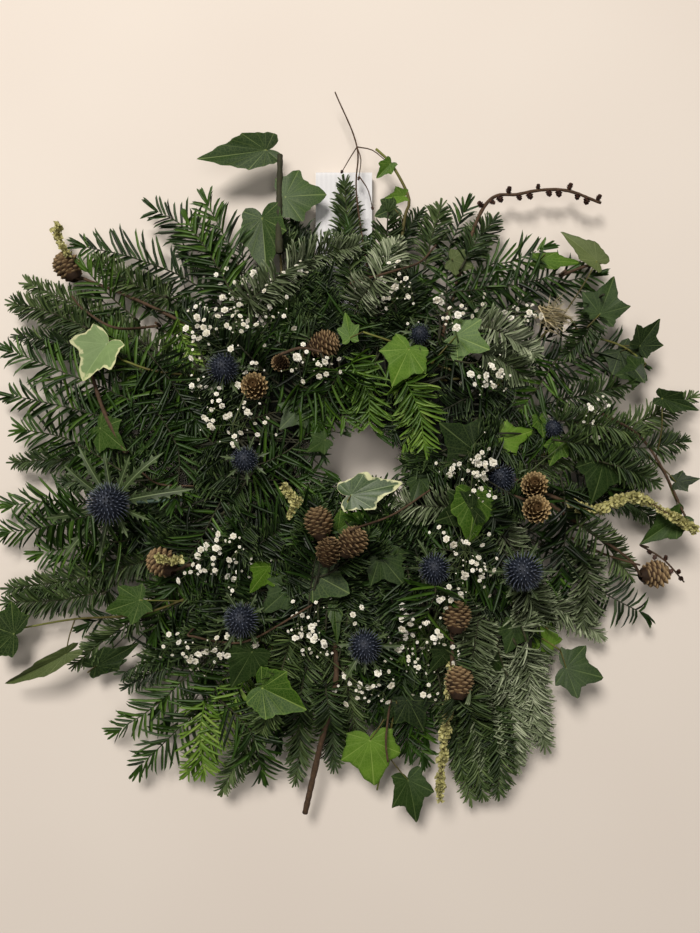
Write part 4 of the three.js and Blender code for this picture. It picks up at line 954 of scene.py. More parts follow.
def grow_sea_holly():
    for name, (pixel, radius, reaches) in HOLLY.items():
        radius *= MM
        if not reaches:
            grow_plain_holly(name, pixel, radius)
            continue
        head, collar = Growth(), Growth()
        low, high = (np.array(v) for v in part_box(name + "_head"))
        centre = (low + high) / 2
        centre[2] = low[2] + (high[2] - low[2]) * 0.42
        centre += 0.65 * (seen(*pixel, centre[2]) - centre)
        holly_head(head, centre, radius)
        show(centre - UP * radius * 0.4, radius * 1.1)
        head.piece(name + "_florets", ["sea holly floret"], "sea_holly_heads", name + "_head")
        hub = centre - UP * radius * 0.55
        if name == "sea_holly_left":
            tips = [seen(*tip, hub[2] + RNG.uniform(2, 9) * MM) for tip in HERO_BRACTS]
        else:
            ways = [(k * 2 * math.pi / len(reaches), reach) for k, reach in enumerate(reaches)]
            tips = [hub + heading(turn, 0.15) * reach * MM for turn, reach in ways]
            tips += [hub + heading(turn + 0.5, 0.3) * reach * 0.7 * MM for turn, reach in ways]
        for tip in tips:
            way = unit((tip - hub) * [1, 1, 0])
            long = np.linalg.norm(tip - hub)
            bract(collar, hub + way * 3 * MM, tip, 1.3 * MM + 0.04 * long, 6 if long > 35 * MM else 4)
        stem(collar, curve([peg_of(name + "_bracts"), hub - UP * 6 * MM, hub], 6 * MM), 1.6 * MM, 1.6 * MM, 1)
        looks = ["sea holly bract", "sea holly stem"]
        collar.piece(name + "_spiny_bracts", looks, "sea_holly_bracts", name + "_bracts")


# ---------- larch cones and twigs ----------
def scale_template():
    """A cone scale of length 1 and width 1: a thin shell, rounded at its free end and bent out there."""
    points, shares = [], []
    for x, half in [(0, 0.25), (0.35, 0.42), (0.65, 0.5), (0.85, 0.46), (0.96, 0.32), (1.0, 0.12)]:
        for across in (-1, -0.5, 0, 0.5, 1):
            points.append((x, across * half, -0.3 * across**2 * half * 2 + 0.1 * x**2 + 0.12 * x**6))
            shares.append(x)
    return np.array(points), [grid(6, 5)], np.array(shares)


SCALE = scale_template()
CONE_RADIUS = 12 * MM
CONE_LENGTH = 27 * MM
CONE_SCALES = 74
CONE_CORE = (0.5, 0.9, 1, 0.95, 0.8, 0.5, 0.1)  # its shape, from foot to tip
CORE_SHARE = 0.66  # of the cone's radius


def larch_cone(growth, base, axis, scale, look=0):
    """Scales in a spiral round a dark core."""
    radius, length = CONE_RADIUS * scale, CONE_LENGTH * scale
    axis = unit(axis)
    side = unit(np.cross(axis, np.array([0.3, 0.5, 0.8])))
    other = np.cross(axis, side)
    t = (np.arange(CONE_SCALES) + 0.5) / CONE_SCALES
    out = turned(side, other, np.arange(CONE_SCALES) * GOLDEN_ANGLE)
    body = np.sin(np.radians(28 + 130 * t)) * CORE_SHARE * radius
    place = base + axis * (length * (0.8 * t))[:, None] + out * body[:, None]
    way = axis * (1 - 0.2 * (1 - t))[:, None] + out * (0.62 - 0.5 * t)[:, None]
    long = 8.2 * MM * scale * (0.7 + 0.3 * np.sin(math.pi * t))
    tone = np.clip(RNG.normal(0.5, 0.2, CONE_SCALES), 0, 1)
    growth.scatter(SCALE, place, way, out, long, 8.0 * MM * scale * (1 - 0.4 * t), tone, look)
    rows, sides = len(CONE_CORE), 8
    core = np.linspace(0, 1, rows)[:, None] * axis * length * 0.86 + base
    ring = turned(side, other, turns(sides))
    points = core[:, None] + ring[None] * (CORE_SHARE * radius * np.array(CONE_CORE))[:, None, None]
    growth.add(points, [grid(rows, sides, closed=True, flipped=True)], 0.1, 0.0, look)


# by node: its twigs' routes, then its cones: base and tip in the picture, and size
CONES = {
    "larch_cone_top_left": ([[(150, 306), (92, 282), (76, 276)]], [(76, 280, 62, 256, 1)]),
    "larch_cones_upper": ([], [(308, 350, 330, 342, 1), (286, 368, 276, 360, 0.6)]),
    "larch_cone_upper_left": ([], [(257, 392, 257, 388, 0.9)]),
    "larch_cone_left": ([[(186, 566)]], [(174, 572, 162, 560, 1)]),
    "larch_cones_centre": ([[(326, 560)]], [
        (322, 540, 318, 518, 1), (342, 556, 354, 540, 1), (326, 566, 330, 546, 0.9),
    ]),
    "larch_cones_right": ([[(526, 500)]], [(534, 492, 535, 484, 0.9), (533, 514, 533, 508, 0.9)]),
    "larch_twig_bottom": ([[(452, 640), (450, 690), (442, 760), (440, 800)]], [
        (456, 634, 456, 612, 1), (458, 700, 458, 674, 1),
    ]),
    "larch_twig_right": (
        [[(588, 509), (631, 497), (672, 516), (695, 530)], [(588, 530), (630, 560), (640, 576)]],
        [(640, 576, 664, 572, 1)],
    ),
}
TAN_CONES = ("larch_cones_right", "larch_cone_upper_left")  # paler in the picture
LICHEN_TWIGS = ("larch_twig_bottom", "larch_twig_right")
RAISED_CONES = {"larch_twig_bottom": 7}  # mm above their solid
END_ON = 12 * MM  # a cone whose picture is shorter than this points at the eye


def grow_cones():
    for name, (twigs, cones) in CONES.items():
        growth = Growth()
        for route in twigs:
            stem(growth, curve(lie(name, route), 5 * MM), 1.7 * MM, 1.3 * MM, 1, 7, knobbly=0.14)
        for *ends, scale in cones:
            pixels = np.reshape(ends, (2, 2))
            base, tip = seen(*pixels.T, height_at(name, pixels, 6) + RAISED_CONES.get(name, 0) * MM)
            axis = tip - base
            axis[2] = 14 * MM if np.linalg.norm(axis[:2]) < END_ON else axis[2] * 0.5
            larch_cone(growth, base, axis, scale, 3 if name in TAN_CONES else 0)
            axis = unit(axis)
            show(base + axis * 12 * MM - UP * 6 * MM, 14 * MM * scale)
            inside = base + axis * 3 * MM
            if twigs:
                twig = np.array([point for route in twigs for point in lie(name, route)])
                nearest = twig[np.argmin(np.linalg.norm(twig - base, axis=1))]
                stalk = curve([nearest, (nearest + base) / 2 - UP * MM, inside], 4 * MM)
                stem(growth, stalk, 1.2 * MM, 1.4 * MM, 1, knobbly=0.1)
            else:
                back, foot = base - axis * 3 * MM, peg_of(name)
                stalk = curve([inside, back, (back + foot) / 2, foot], 6 * MM)
                stem(growth, stalk, 1.3 * MM, 1.3 * MM, 1, knobbly=0.1)
        if name in LICHEN_TWIGS:
            lichen(growth, curve(lie(name, twigs[0]), 2 * MM), 2)
        looks = ["cone scale", "twig bark", "lichen", "tan cone scale"]
        growth.piece(name + "_scales", looks, "larch_cone", name)


def lichen(growth, path, look, skip=0.33):
    """Crusts and tufts of small lobes along a twig."""
    keep = path[int(len(path) * skip) :]
    count = 14 * len(keep)
    at = keep[RNG.integers(0, len(keep), count)]
    way = unit(RNG.normal(0, 1, (count, 3)) * np.array([1, 1, 0.8]) + UP * 0.3)
    size = RNG.uniform(2.4, 5.4, count) * MM * (0.85 + 0.25 * np.sin(at[:, 0] * 300 + at[:, 1] * 260))
    normal = RNG.normal(0, 1, (count, 3))
    growth.scatter(SCALE, at + way * 0.8 * MM, way, normal, size, size * 0.8, RNG.uniform(0, 1, count), look)


def bud(growth, place, way, radius, look):
    """A plump scaly bud."""
    count = 12
    t = (np.arange(count) + 0.5) / count
    side = unit(np.cross(way, UP + 0.02))
    out = turned(side, np.cross(way, side), np.arange(count) * GOLDEN_ANGLE)
    swell = radius * 0.45 * np.sin(math.pi * (0.2 + 0.6 * t))
    at = place + way * (radius * 1.6 * t)[:, None] + out * swell[:, None]
    lean = way + out * (0.7 - 0.6 * t)[:, None]
    growth.scatter(SCALE, at, lean, out, radius * 1.2, radius * 1.3, RNG.uniform(0, 1, count), look)


# route, radius at the foot and at the tip in mm, and buds
BARE_TWIGS = {
    "larch_bud_twig": ([(481, 212), (520, 194), (563, 190), (601, 203)], 1.9, 1.3, 13),
    "cut_stem_bottom": ([(336, 680), (320, 747), (305, 813)], 2.3, 2.6, 0),
    "dried_sprig_top": ([(357, 200), (357, 147), (335, 92)], 0.9, 0.6, 0),
}
SPRIG_BRANCHES = [[(357, 147), (350, 158), (343, 170)], [(357, 147), (361, 160), (359, 176)],
                  [(357, 147), (372, 150), (385, 160)], [(359, 176), (368, 190), (372, 206)]]
# twigs on top that the picture shows: route and radius in mm
MORE_TWIGS = [
    ([(602, 414), (637, 434), (661, 466), (685, 516)], 1.3),
    ([(188, 635), (220, 642), (253, 639), (312, 605)], 1.0),
    ([(351, 283), (394, 271), (420, 262), (436, 245)], 1.1), ([(139, 470), (159, 484), (194, 486)], 0.9),
    ([(572, 538), (604, 554), (640, 565)], 1.2), ([(560, 276), (583, 267), (605, 262)], 1.6),
    ([(125, 451), (105, 414), (91, 373)], 2.0), ([(279, 250), (279, 231), (280, 155)], 3.3),
    ([(640, 545), (664, 560), (684, 582)], 0.9), ([(390, 700), (386, 740), (388, 762)], 1.2),
    ([(280, 355), (300, 348), (322, 352)], 1.4), ([(350, 530), (392, 515), (430, 490)], 1.1),
    ([(160, 326), (116, 328), (84, 310), (72, 296)], 1.3),
]
SHOOT_TWIG, BUDDED_TWIG = 7, 8  # in MORE_TWIGS: one with a young shoot's bark, and one with buds
TWIG_REACH = 2.5 * MM
MORE_LICHEN = [[(284, 486), (292, 498), (300, 500), (290, 516)], [(56, 228), (60, 242), (68, 254)],
               [(160, 558), (170, 561), (178, 560)]]


def grow_more_twigs():
    growth = Growth()
    paths = [curve(laid(route, 5 * MM), 3 * MM) for route, _ in MORE_TWIGS]
    for number, (path, (_, radius)) in enumerate(zip(paths, MORE_TWIGS)):
        look = 3 if number == SHOOT_TWIG else 0
        stem(growth, path, radius * MM, radius * 0.75 * MM, look, 7, knobbly=0.12)
        show_path(path[len(path) // 5 :], 2 * MM, TWIG_REACH)
    path = paths[BUDDED_TWIG]
    for at in path[len(path) // 3 :: 3]:
        bud(growth, at, unit(RNG.normal(0, 1, 3) + UP * 0.6), 1.9 * MM, 2)
    for route in MORE_LICHEN:
        path = curve(laid(route, 5 * MM, foot=False), 2 * MM)
        stem(growth, path, 1.0 * MM, 0.8 * MM, 0, knobbly=0.12)
        lichen(growth, path, 1, 0)
        show_path(path, 2 * MM, 1.6 * TWIG_REACH)
    growth.piece("more_twigs", ["twig bark", "lichen", "bud scale", "shoot bark"], "bark")


def grow_tuft():
    """A dry seed tuft of fine pale hairs, half under the foliage at the upper right."""
    growth = Growth()
    root = laid([(546, 318), (552, 318)], 0, foot=False)[0]
    count = 120
    angle, rise = RNG.normal(0, 0.6, count), RNG.normal(0.25, 0.3, count)
    way = np.stack([np.cos(angle), np.sin(angle), rise], axis=1)
    long = RNG.uniform(9, 24, count) * MM
    feet = root + RNG.normal(0, 4, (count, 3)) * [1, 1, 0.3] * MM
    growth.scatter(STRAND, feet, way, np.tile(UP, (count, 1)), long, 0.8 * MM, RNG.uniform(0, 1, count))
    growth.piece("pale_seed_tuft", ["seed hair"], "gypsophila_flowers")


def grow_twigs():
    for name, (route, thick, thin, buds) in BARE_TWIGS.items():
        growth = Growth()
        path = curve(lie(name, route), 3 * MM)
        stem(growth, path, thick * MM, thin * MM, 0, 8, knobbly=0.1)
        total = length_of(path)
        shown = total - length_of(path[np.argmin(np.linalg.norm(pixels_of(path) - route[0], axis=1)) :])
        for k in range(buds):
            place, way = along_path(path, np.array([shown + (total - shown) * (k + 0.5) / buds]))
            side = np.cross(way[0], UP) * (1 if k % 3 else -1)
            bud(growth, place[0], unit(side + way[0] * 0.2 + UP * 0.4), RNG.uniform(2.0, 2.7) * MM, 1)
        for branch in SPRIG_BRANCHES if name == "dried_sprig_top" else []:
            pixels = np.array(branch)
            twig = curve(seen(*pixels.T, height_at(name, pixels, 3)), 4 * MM)
            stem(growth, twig, 0.6 * MM, 0.4 * MM, 0, 5)
            bud(growth, twig[-1], unit(twig[-1] - twig[-2]), 1.3 * MM, 1)
        growth.piece(name + "_bark", ["twig bark", "bud scale"], "bark", name)


# ---------- gypsophila ----------
# clusters: middle, half width and half height in the picture's pixels, and flowers
CLUSTERS = {
    "gypsophila_upper_left": [(266, 298, 72, 40, 117), (224, 350, 44, 56, 99), (314, 364, 32, 16, 42),
                              (232, 424, 34, 30, 36)],
    "gypsophila_upper_right": [(394, 290, 30, 22, 45), (522, 314, 24, 14, 27), (484, 376, 18, 14, 39),
                               (450, 310, 40, 24, 30)],
    "gypsophila_right": [(474, 468, 28, 26, 75), (466, 552, 28, 48, 99), (428, 640, 34, 62, 114),
                         (596, 418, 24, 22, 39)],
    "gypsophila_lower_left": [(228, 562, 38, 32, 81), (212, 650, 48, 18, 69), (320, 626, 34, 28, 81),
                              (364, 690, 34, 14, 36)],
}
FLOWER_SIZE = 2.7 * MM  # radius
FLOWERS_PER_SPRIG = 6


def flower_template():
    """A small double flower: three rings of kite-shaped petals, each ring smaller and more upright."""
    points, shares = [], []
    for count, reach, rise, lift in ((6, 1.0, 0.1, 0.0), (5, 0.72, 0.34, 0.4), (4, 0.42, 0.5, 0.9)):
        for k in range(count):
            turn = (k + lift) * 2 * math.pi / count
            c, s = math.cos(turn), math.sin(turn)
            edge, high = reach * 0.7, rise * 0.8
            for r, across, z in ((0.05, 0, 0.05), (edge, -0.44, high), (reach, 0, rise), (edge, 0.44, high)):
                points.append((z, r * c - across * reach * s, r * s + across * reach * c))
                shares.append(min(1, r))
    return np.array(points), [np.arange(len(points)).reshape(-1, 4)], np.array(shares)


FLOWER = flower_template()


def scatter_flowers(growth, places, facing, sizes):
    """Puts a flower at each place, its face along facing."""
    shape, faces, shares = FLOWER
    side = unit(np.cross(facing, np.array([0.3, 0.8, 0.1])))
    other = np.cross(facing, side)
    points = facing[:, None] * shape[:, :1] + side[:, None] * shape[:, 1:2] + other[:, None] * shape[:, 2:3]
    points = places[:, None] + points * sizes[:, None, None]
    tone = np.repeat(RNG.uniform(0, 1, len(places)), len(shape))
    growth.add(points, repeated(faces, len(places), len(shape)), tone, np.tile(shares, len(places)))


def grow_gypsophila(pieces):
    for name, clusters in CLUSTERS.items():
        growth = Growth()
        foot = peg_of(name)
        for px, py, wide, tall, count in clusters:
            hub = seen(px, py, max(height_at(name, [(px, py)], 8)[0], MOSS_TOP + 8 * MM))
            neck = hub - UP * 6 * MM
            main = curve([foot, (foot + hub) / 2 + UP * 4 * MM, neck], 8 * MM)
            stem(growth, main, 0.7 * MM, 0.5 * MM, 1, 5)
            sprigs = count // FLOWERS_PER_SPRIG
            half = np.array([wide, tall, 0]) * METRES_PER_PIXEL * 0.9
            for k in range(sprigs):
                angle = k * GOLDEN_ANGLE + RNG.uniform(-0.3, 0.3)
                away = math.sqrt((k + 0.5) / sprigs)
                plan = hub + heading(angle, 0) * half * away * RNG.uniform(0.8, 1.1)
                top = np.clip(over(CANOPY, plan), hub[2] - 14 * MM, hub[2] + 10 * MM)
                fork = plan * [1, 1, 0] + UP * (top - 2 * MM)
                middle = (hub + fork) / 2 - UP * RNG.uniform(3, 8) * MM
                stem(growth, curve([neck, middle, fork], 8 * MM), 0.4 * MM, 0.3 * MM, 1, 3)
                strewn = RNG.normal(0, 1, (FLOWERS_PER_SPRIG, 3)) * np.array([6.0, 6.0, 1.6]) * MM
                heads = fork + strewn + UP * RNG.uniform(1, 5) * MM
                heads = heads[~in_hole(heads, 4 * MM) & ~covers(heads, pieces)]
                for head in heads:
                    stalk = np.array([fork, (fork + head) / 2 - UP * MM, head])
                    stem(growth, stalk, 0.3 * MM, 0.22 * MM, 1, 3)
                facing = unit((heads - fork) * 0.5 + UP * 5 * MM + RNG.normal(0, 1, (len(heads), 3)) * MM)
                size = FLOWER_SIZE * np.clip(RNG.normal(0.58, 0.36, len(heads)), 0.24, 1.3)
                scatter_flowers(growth, heads, facing, size)
        growth.piece(name + "_flowers", ["gypsophila petal", "gypsophila stalk"], "gypsophila_flowers", name)


# ---------- moss ----------
MOSS_STRANDS = 9000


def grow_moss():
    """Short moss strands all over the ring's top and sides."""
    growth = Growth()
    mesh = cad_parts["moss_ring"].data
    mesh.calc_loop_triangles()
    faces = np.array([triangle.vertices for triangle in mesh.loop_triangles])
    a, b, c = (CORNERS["moss_ring"][faces[:, k]] for k in range(3))
    cross = np.cross(b - a, c - a)
    normal = unit(cross)
    share = np.linalg.norm(cross, axis=1) / 2 * (normal[:, 2] > -0.5)
    pick = RNG.choice(len(faces), MOSS_STRANDS, p=share / share.sum())
    u, v = RNG.uniform(0, 1, MOSS_STRANDS), RNG.uniform(0, 1, MOSS_STRANDS)
    u, v = np.where(u + v > 1, 1 - u, u), np.where(u + v > 1, 1 - v, v)
    place = a[pick] + (b - a)[pick] * u[:, None] + (c - a)[pick] * v[:, None]
    way = unit(normal[pick] + RNG.normal(0, 0.7, (MOSS_STRANDS, 3)))
    keep = place[:, 2] > 4 * MM
    way[:, 2] = np.where(place[:, 2] < 12 * MM, np.abs(way[:, 2]), way[:, 2])
    long = RNG.uniform(4, 8, MOSS_STRANDS) * MM
    growth.scatter(STRAND, place[keep], way[keep], RNG.normal(0, 1, (keep.sum(), 3)), long[keep], 1.2 * MM,
                   RNG.uniform(0, 1, keep.sum()))
    growth.piece("moss_strands", ["moss strand"], "moss")


# ---------- ribbon ----------
RIBS = 44


def grow_ribbon():
    """The flat folded ribbon: one cloth sheet, out along its lower layer and back along its upper."""
    low, high = (np.array(v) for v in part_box("hanging_ribbon"))
    thick = 1 * MM
    z_low, z_high = low[2] + thick / 2, high[2] - thick / 2
    radius = (z_high - z_low) / 2
    straight = np.linspace(low[1], high[1] - radius - thick / 2, 40)
    fold = [(straight[-1] + radius * math.sin(t), (z_low + z_high) / 2 - radius * math.cos(t))
            for t in np.linspace(0, math.pi, 11)[1:-1]]
    line = np.array([(y, z_low) for y in straight] + fold + [(y, z_high) for y in straight[::-1]])
    across = np.linspace(low[0], high[0], 2 * RIBS + 1)
    rib = 0.12 * MM * np.where(np.arange(len(across)) % 2, 1, -1)
    way = unit(np.gradient(line, axis=0))
    normal = np.stack([way[:, 1], -way[:, 0]], axis=1)
    points = [(x, y + ny * r, z + nz * r)
              for (y, z), (ny, nz) in zip(line, normal) for x, r in zip(across, rib)]
    growth = Growth()
    shares = np.repeat(np.linspace(0, 1, len(line)), len(across))
    growth.add(points, [grid(len(line), len(across))], 0.5, shares)
    made = growth.piece("ribbon_cloth", ["ribbon cloth"], "ribbon", "hanging_ribbon")


# ---------- materials ----------
MATERIALS = {}
RAMP_STOPS = {2: (0.1, 1), 3: (0.1, 0.5, 1), 4: (0.1, 0.45, 0.75, 1)}  # where so many colours stand
BARK_STOPS = (0.2, 0.6, 1)
OTHER_STOPS = {"ivy stem": (0.1, 0.6, 1), "gypsophila petal": (0.1, 0.6, 1), "moss": (0.25, 0.55, 0.9)}


def linear(hex_colour):
    """An sRGB hex value as linear RGBA."""
    parts = [int(hex_colour[k : k + 2], 16) / 255 for k in (1, 3, 5)]
    return [c / 12.92 if c <= 0.04045 else ((c + 0.055) / 1.055) ** 2.4 for c in parts] + [1.0]


def join(node, inputs):
    """Sets a node's inputs, from values, from sockets or from the first output of other nodes."""
    for key, value in inputs.items():
        if isinstance(value, bpy.types.Node):
            value = value.outputs[0]
        if isinstance(value, bpy.types.NodeSocket):
            node.id_data.links.new(value, node.inputs[key])
        else:
            node.inputs[key].default_value = value


def add(tree, kind, inputs=None, stops=None, **settings):
    """Adds a node with its settings, its ramp's stops and its inputs."""
    made = tree.nodes.new("ShaderNode" + kind)
    for key, value in settings.items():
        setattr(made, key, value)
    if stops:
        stops = list(stops)
        ramp = made.color_ramp.elements
        while len(ramp) < len(stops):
            ramp.new(0.5)
        for element, (at, colour) in zip(ramp, stops):
            element.position, element.color = at, linear(colour)
    join(made, inputs or {})
    return made


def surface(name, **values):
    """A new material and the tree and shader to finish it with."""
    material = bpy.data.materials.new(name)
    material.use_nodes = True
    shader = material.node_tree.nodes["Principled BSDF"]
    join(shader, {key.replace("_", " "): value for key, value in values.items()})
    MATERIALS[name] = material
    return material.node_tree, shader


def leafy(name, colours, tip, tip_share, roughness, coat, grain_mm, vein=None, edge=None):
    """A leaf's waxed surface: a tone for each leaf, a tip colour, fine mottling and pale veins."""
    colours = colours.split()
    stops = zip(OTHER_STOPS.get(name, RAMP_STOPS[len(colours)]), colours)
    tree, shader = surface(name, Roughness=roughness, IOR=1.4, Coat_Weight=coat, Coat_Roughness=0.35,
                           Specular_IOR_Level=0.35)
    tone = add(tree, "Attribute", attribute_name="tone").outputs["Fac"]
    along = add(tree, "Attribute", attribute_name="along").outputs["Fac"]
    place = add(tree, "TexCoord").outputs["Object"]
    grain = add(tree, "TexNoise", {"Vector": place, "Scale": 1000 / grain_mm, "Detail": 3.0})
    shade = add(tree, "Math", {0: tone, 1: 0.72}, operation="MULTIPLY")
    mottle = add(tree, "Math", {0: grain, 1: 0.42, 2: shade}, operation="MULTIPLY_ADD")
    base = add(tree, "ValToRGB", {"Fac": mottle}, stops)
    towards = add(tree, "MapRange", {"Value": along, "From Min": 1 - tip_share, "From Max": 1.0})
    out = add(tree, "Mix", {"Factor": towards, 6: base, 7: linear(tip)}, data_type="RGBA").outputs[2]
    if edge:
        ragged = add(tree, "TexNoise", {"Vector": place, "Scale": 140.0, "Detail": 4.0})
        rim = add(tree, "Math", {0: ragged, 1: 0.55, 2: along}, operation="MULTIPLY_ADD")
        sharp = add(tree, "MapRange", {"Value": rim, "From Min": 1.15, "From Max": 1.21})
        out = add(tree, "Mix", {"Factor": sharp, 6: out, 7: linear(edge)}, data_type="RGBA").outputs[2]
    if vein:
        lines = add(tree, "Attribute", attribute_name="vein").outputs["Fac"]
        net = add(tree, "TexVoronoi", {"Vector": place, "Scale": 420.0}, feature="DISTANCE_TO_EDGE")
        fine = add(tree, "MapRange", {"Value": net.outputs["Distance"], "From Min": 0.0, "From Max": 0.12,
                                      "To Min": 0.16, "To Max": 0.0})
        both = add(tree, "Math", {0: lines, 1: fine}, operation="MAXIMUM")
        part = add(tree, "Math", {0: both, 1: 0.85}, operation="MULTIPLY")
        out = add(tree, "Mix", {"Factor": part, 6: out, 7: linear(vein)}, data_type="RGBA").outputs[2]
    relief = add(tree, "Bump", {"Height": grain, "Strength": 0.15, "Distance": 0.0004})
    join(shader, {"Base Color": out, "Normal": relief})


def barky(name, colours, roughness, grain_mm, strength, distance_mm=0.4):
    """A dry rough surface whose colour follows its own relief."""
    stops = zip(OTHER_STOPS.get(name, BARK_STOPS), colours.split())
    tree, shader = surface(name, Roughness=roughness, IOR=1.5)
    place = add(tree, "TexCoord").outputs["Object"]
    grain = add(tree, "TexNoise", {"Vector": place, "Scale": 1000 / grain_mm, "Detail": 5.0,
                                   "Roughness": 0.62})
    tone = add(tree, "Attribute", attribute_name="tone").outputs["Fac"]
    mix = add(tree, "Math", {0: tone, 1: 0.45, 2: grain}, operation="MULTIPLY_ADD")
    shift = add(tree, "Math", {0: mix, 1: 0.22}, operation="SUBTRACT")
    base = add(tree, "ValToRGB", {"Fac": shift}, stops)
    relief = add(tree, "Bump", {"Height": grain, "Strength": strength, "Distance": distance_mm * MM})
    join(shader, {"Base Color": base, "Normal": relief})


def painted(name, scale, detail, colours, **values):
    """A smooth coat of paint whose colour drifts a little."""
    tree, shader = surface(name, **values)
    place = add(tree, "TexCoord").outputs["Object"]
    drift = add(tree, "TexNoise", {"Vector": place, "Scale": scale, "Detail": detail})
    base = add(tree, "ValToRGB", {"Fac": drift}, zip((0.3, 0.7), colours.split()))
    join(shader, {"Base Color": base})


def woven(name):
    """A ribbon's matte thread, with fine ribs across it."""
    tree, shader = surface(name, Roughness=0.8, IOR=1.5, Sheen_Weight=0.25)
    place = add(tree, "TexCoord").outputs["Object"]
    threads = [
        add(tree, "TexWave", {"Vector": place, "Scale": scale, "Distortion": bent}, wave_type="BANDS",
            bands_direction=way).outputs["Fac"]
        for scale, bent, way in ((280.0, 0.2, "X"), (600.0, 0.3, "Y"))
    ]
    both = add(tree, "Math", {0: threads[0], 1: threads[1]}, operation="ADD")
    base = add(tree, "ValToRGB", {"Fac": threads[0]}, [(0.1, "#d3d3d6"), (0.8, "#fafafc")])
    relief = add(tree, "Bump", {"Height": both, "Strength": 0.5, "Distance": 0.0002})
    join(shader, {"Base Color": base, "Normal": relief})


# leafy materials: colours from dark to pale, tip, its share, roughness, coat, grain in mm, veins, edge
LEAFY = {
    # live needles: a waxed dark green that catches small highlights, lighter at the tips
    "yew needle": ("#081203 #142706 #2a4510 #4c6b20", "#31500f", 0.2, 0.46, 0.05, 9),
    "young yew needle": ("#1f380a #3d5b15 #5d7c28 #83994a", "#6b8a35", 0.3, 0.45, 0.05, 9),
    # fir needles: the same wax with a grey bloom on it
    "fir needle": ("#10190a #223316 #3a4c25 #617243", "#4c6030", 0.2, 0.5, 0, 8),
    "blue fir needle": ("#1f2713 #434f31 #6c7858 #acb397", "#8d9976", 0.2, 0.55, 0, 8),
    # ivy: leathery, with a soft shine and pale veins
    "ivy leaf": ("#14250a #223a0c #324e14 #486522", "#2c4612", 0.1, 0.5, 0, 14, "#8b9c5c"),
    "dark ivy leaf": ("#0c1a06 #17290a #243a10 #354c1a", "#1f340e", 0.1, 0.5, 0, 14, "#70824c"),
    "grey ivy leaf": ("#283414 #3d4a22 #525f33 #697548", "#4c582e", 0.1, 0.55, 0, 14, "#8a9564"),
    "bright ivy leaf": ("#213c07 #33520d #486917 #638529", "#3e5e10", 0.1, 0.48, 0, 14, "#9fb45e"),
    "cream-edged ivy leaf": ("#1d3214 #3c5529 #839a66", "#a3ac78", 0.05, 0.42, 0.1, 12, "#9aac78", "#cccd9e"),
    # the ivy's stalks: the same green, browner where they are old
    "ivy stem": ("#382a17 #57512a #74793a", "#74793a", 0.3, 0.6, 0, 8),
    # sea holly: dry, stiff and steel blue, with a grey bloom on the bracts
    "sea holly floret": ("#12151b #252b37 #434b5c", "#8f96a8", 0.55, 0.6, 0, 3),
    "sea holly bract": ("#18220f #293819 #40502c", "#4f5f3c", 0.3, 0.5, 0.1, 6, "#7c8c62"),
    "sea holly stem": ("#31463c #5f7468", "#5f7468", 0.1, 0.6, 0, 6),
    # dry cones: matte, with a paler worn edge on each scale
    "cone scale": ("#160e08 #3b2919 #684f34", "#ab916a", 0.3, 0.75, 0, 2.5),
    "tan cone scale": ("#342715 #6e5433 #9c7e51", "#c9af80", 0.36, 0.75, 0, 2.5),
    # petals: thin, white and matte, a little warm
    "gypsophila petal": ("#d8d3bf #f0ecdd #fbf8ee", "#fffdf5", 0.3, 0.6, 0, 3),
    "gypsophila stalk": ("#2f3b1e #56633a", "#56633a", 0.2, 0.6, 0, 4),
}
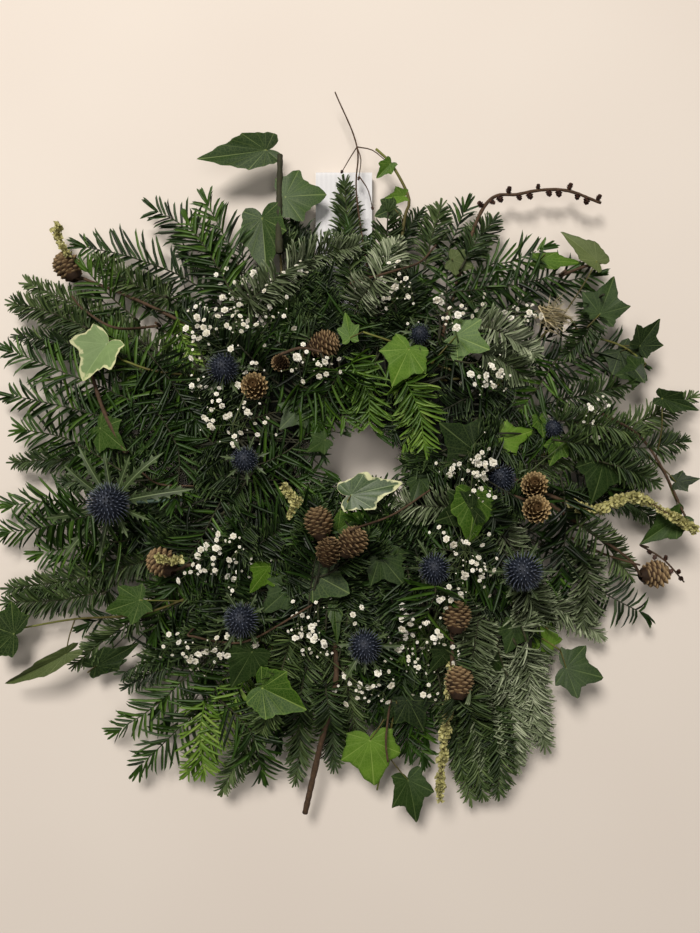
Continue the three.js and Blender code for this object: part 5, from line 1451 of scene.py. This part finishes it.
# dry rough ones: colours from low to high, roughness, grain in mm, relief's strength and depth in mm
BARKY = {
    # wood and bark: matte, darker in their cracks
    "twig bark": ("#281c11 #503b27 #7f674b", 0.85, 2.5, 0.6),
    "shoot bark": ("#1b1e0e #303018 #4c4826", 0.8, 3, 0.4),
    "bud scale": ("#2a1a14 #4a2e24 #6d4a38", 0.7, 1.5, 0.4),
    # lichen: a chalky pale yellow crust
    "lichen": ("#8e8a54 #bab577 #dedbb0", 0.95, 1.2, 0.8),
    # the tuft's hairs: their own straw colour, made paler as a painted highlight for the light caught in them
    "seed hair": ("#b3a985 #dcd2b3 #f3ecd8", 0.8, 2, 0.2),
    # moss: its own dark green, darkened to near black as painted shade of the deep gaps under the foliage;
    # dull, with no highlight at all
    "moss strand": ("#0b0f06 #1a210d #3a4220", 0.95, 6, 0.3),
    "moss": ("#070a04 #11160a #262c14", 1.0, 3, 1.0, 2.0),
}
for look, row in LEAFY.items():
    leafy(look, *row)
for look, row in BARKY.items():
    barky(look, *row)
# florist's wire: a thin coat of green lacquer over iron, with a small sharp highlight
painted("lacquered wire", 400.0, 4.0, "#22301f #36472f", Roughness=0.35, IOR=1.5, Coat_Weight=0.4)
# the floor has the look of the wall behind the wreath: plain cream paint, nearly matte
painted("cream floor", 3.0, 2.0, "#e4dad0 #e9e0d6", Roughness=0.85)
# ribbon: a cool white against the greens, its shine broken by the ribs
woven("ribbon cloth")


def dress(node, look):
    """Gives a solid of the frame this material alone."""
    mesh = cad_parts[node].data
    mesh.materials.clear()
    mesh.materials.append(MATERIALS[look])


# ---------- the scene ----------
grow_ivy()
grow_sea_holly()
grow_cones()
grow_twigs()
grow_more_twigs()
grow_tuft()
pieces_shown = len(SHOWN)
grow_sprays()
grow_fill()
grow_gypsophila(pieces_shown)
grow_moss()
grow_ribbon()
dress("moss_ring", "moss")
dress("wire_frame", "lacquered wire")
dress("binding_wire", "lacquered wire")

floor_mesh = bpy.data.meshes.new("floor")
floor_mesh.from_pydata([(-4, -4, 0), (4, -4, 0), (4, 4, 0), (-4, 4, 0)], [], [(0, 1, 2, 3)])
floor_mesh.materials.append(MATERIALS["cream floor"])
floor = put("floor", floor_mesh)

target = put("light_target", None)
for name, place, size, power, colour in (
    ("ceiling_light", (-0.7, 1.7, 2.6), 1.2, 96, "#fff9f2"),
    ("room_light", (0.4, -0.3, 2.8), 1.6, 14, "#fffaf4"),
):
    lamp = bpy.data.lights.new(name, "AREA")
    lamp.shape, lamp.size, lamp.energy = "DISK", size, power
    lamp.color = linear(colour)[:3]
    made = put(name, lamp)
    made.location = place
    aim = made.constraints.new("TRACK_TO")
    aim.target = target
    aim.track_axis, aim.up_axis = "TRACK_NEGATIVE_Z", "UP_Y"

world = bpy.data.worlds.new("room")
bpy.context.scene.world = world
world.use_nodes = True
join(world.node_tree.nodes["Background"], {"Color": linear("#f7f3ec"), "Strength": 0.09})
bpy.context.scene.view_settings.view_transform = "Standard"
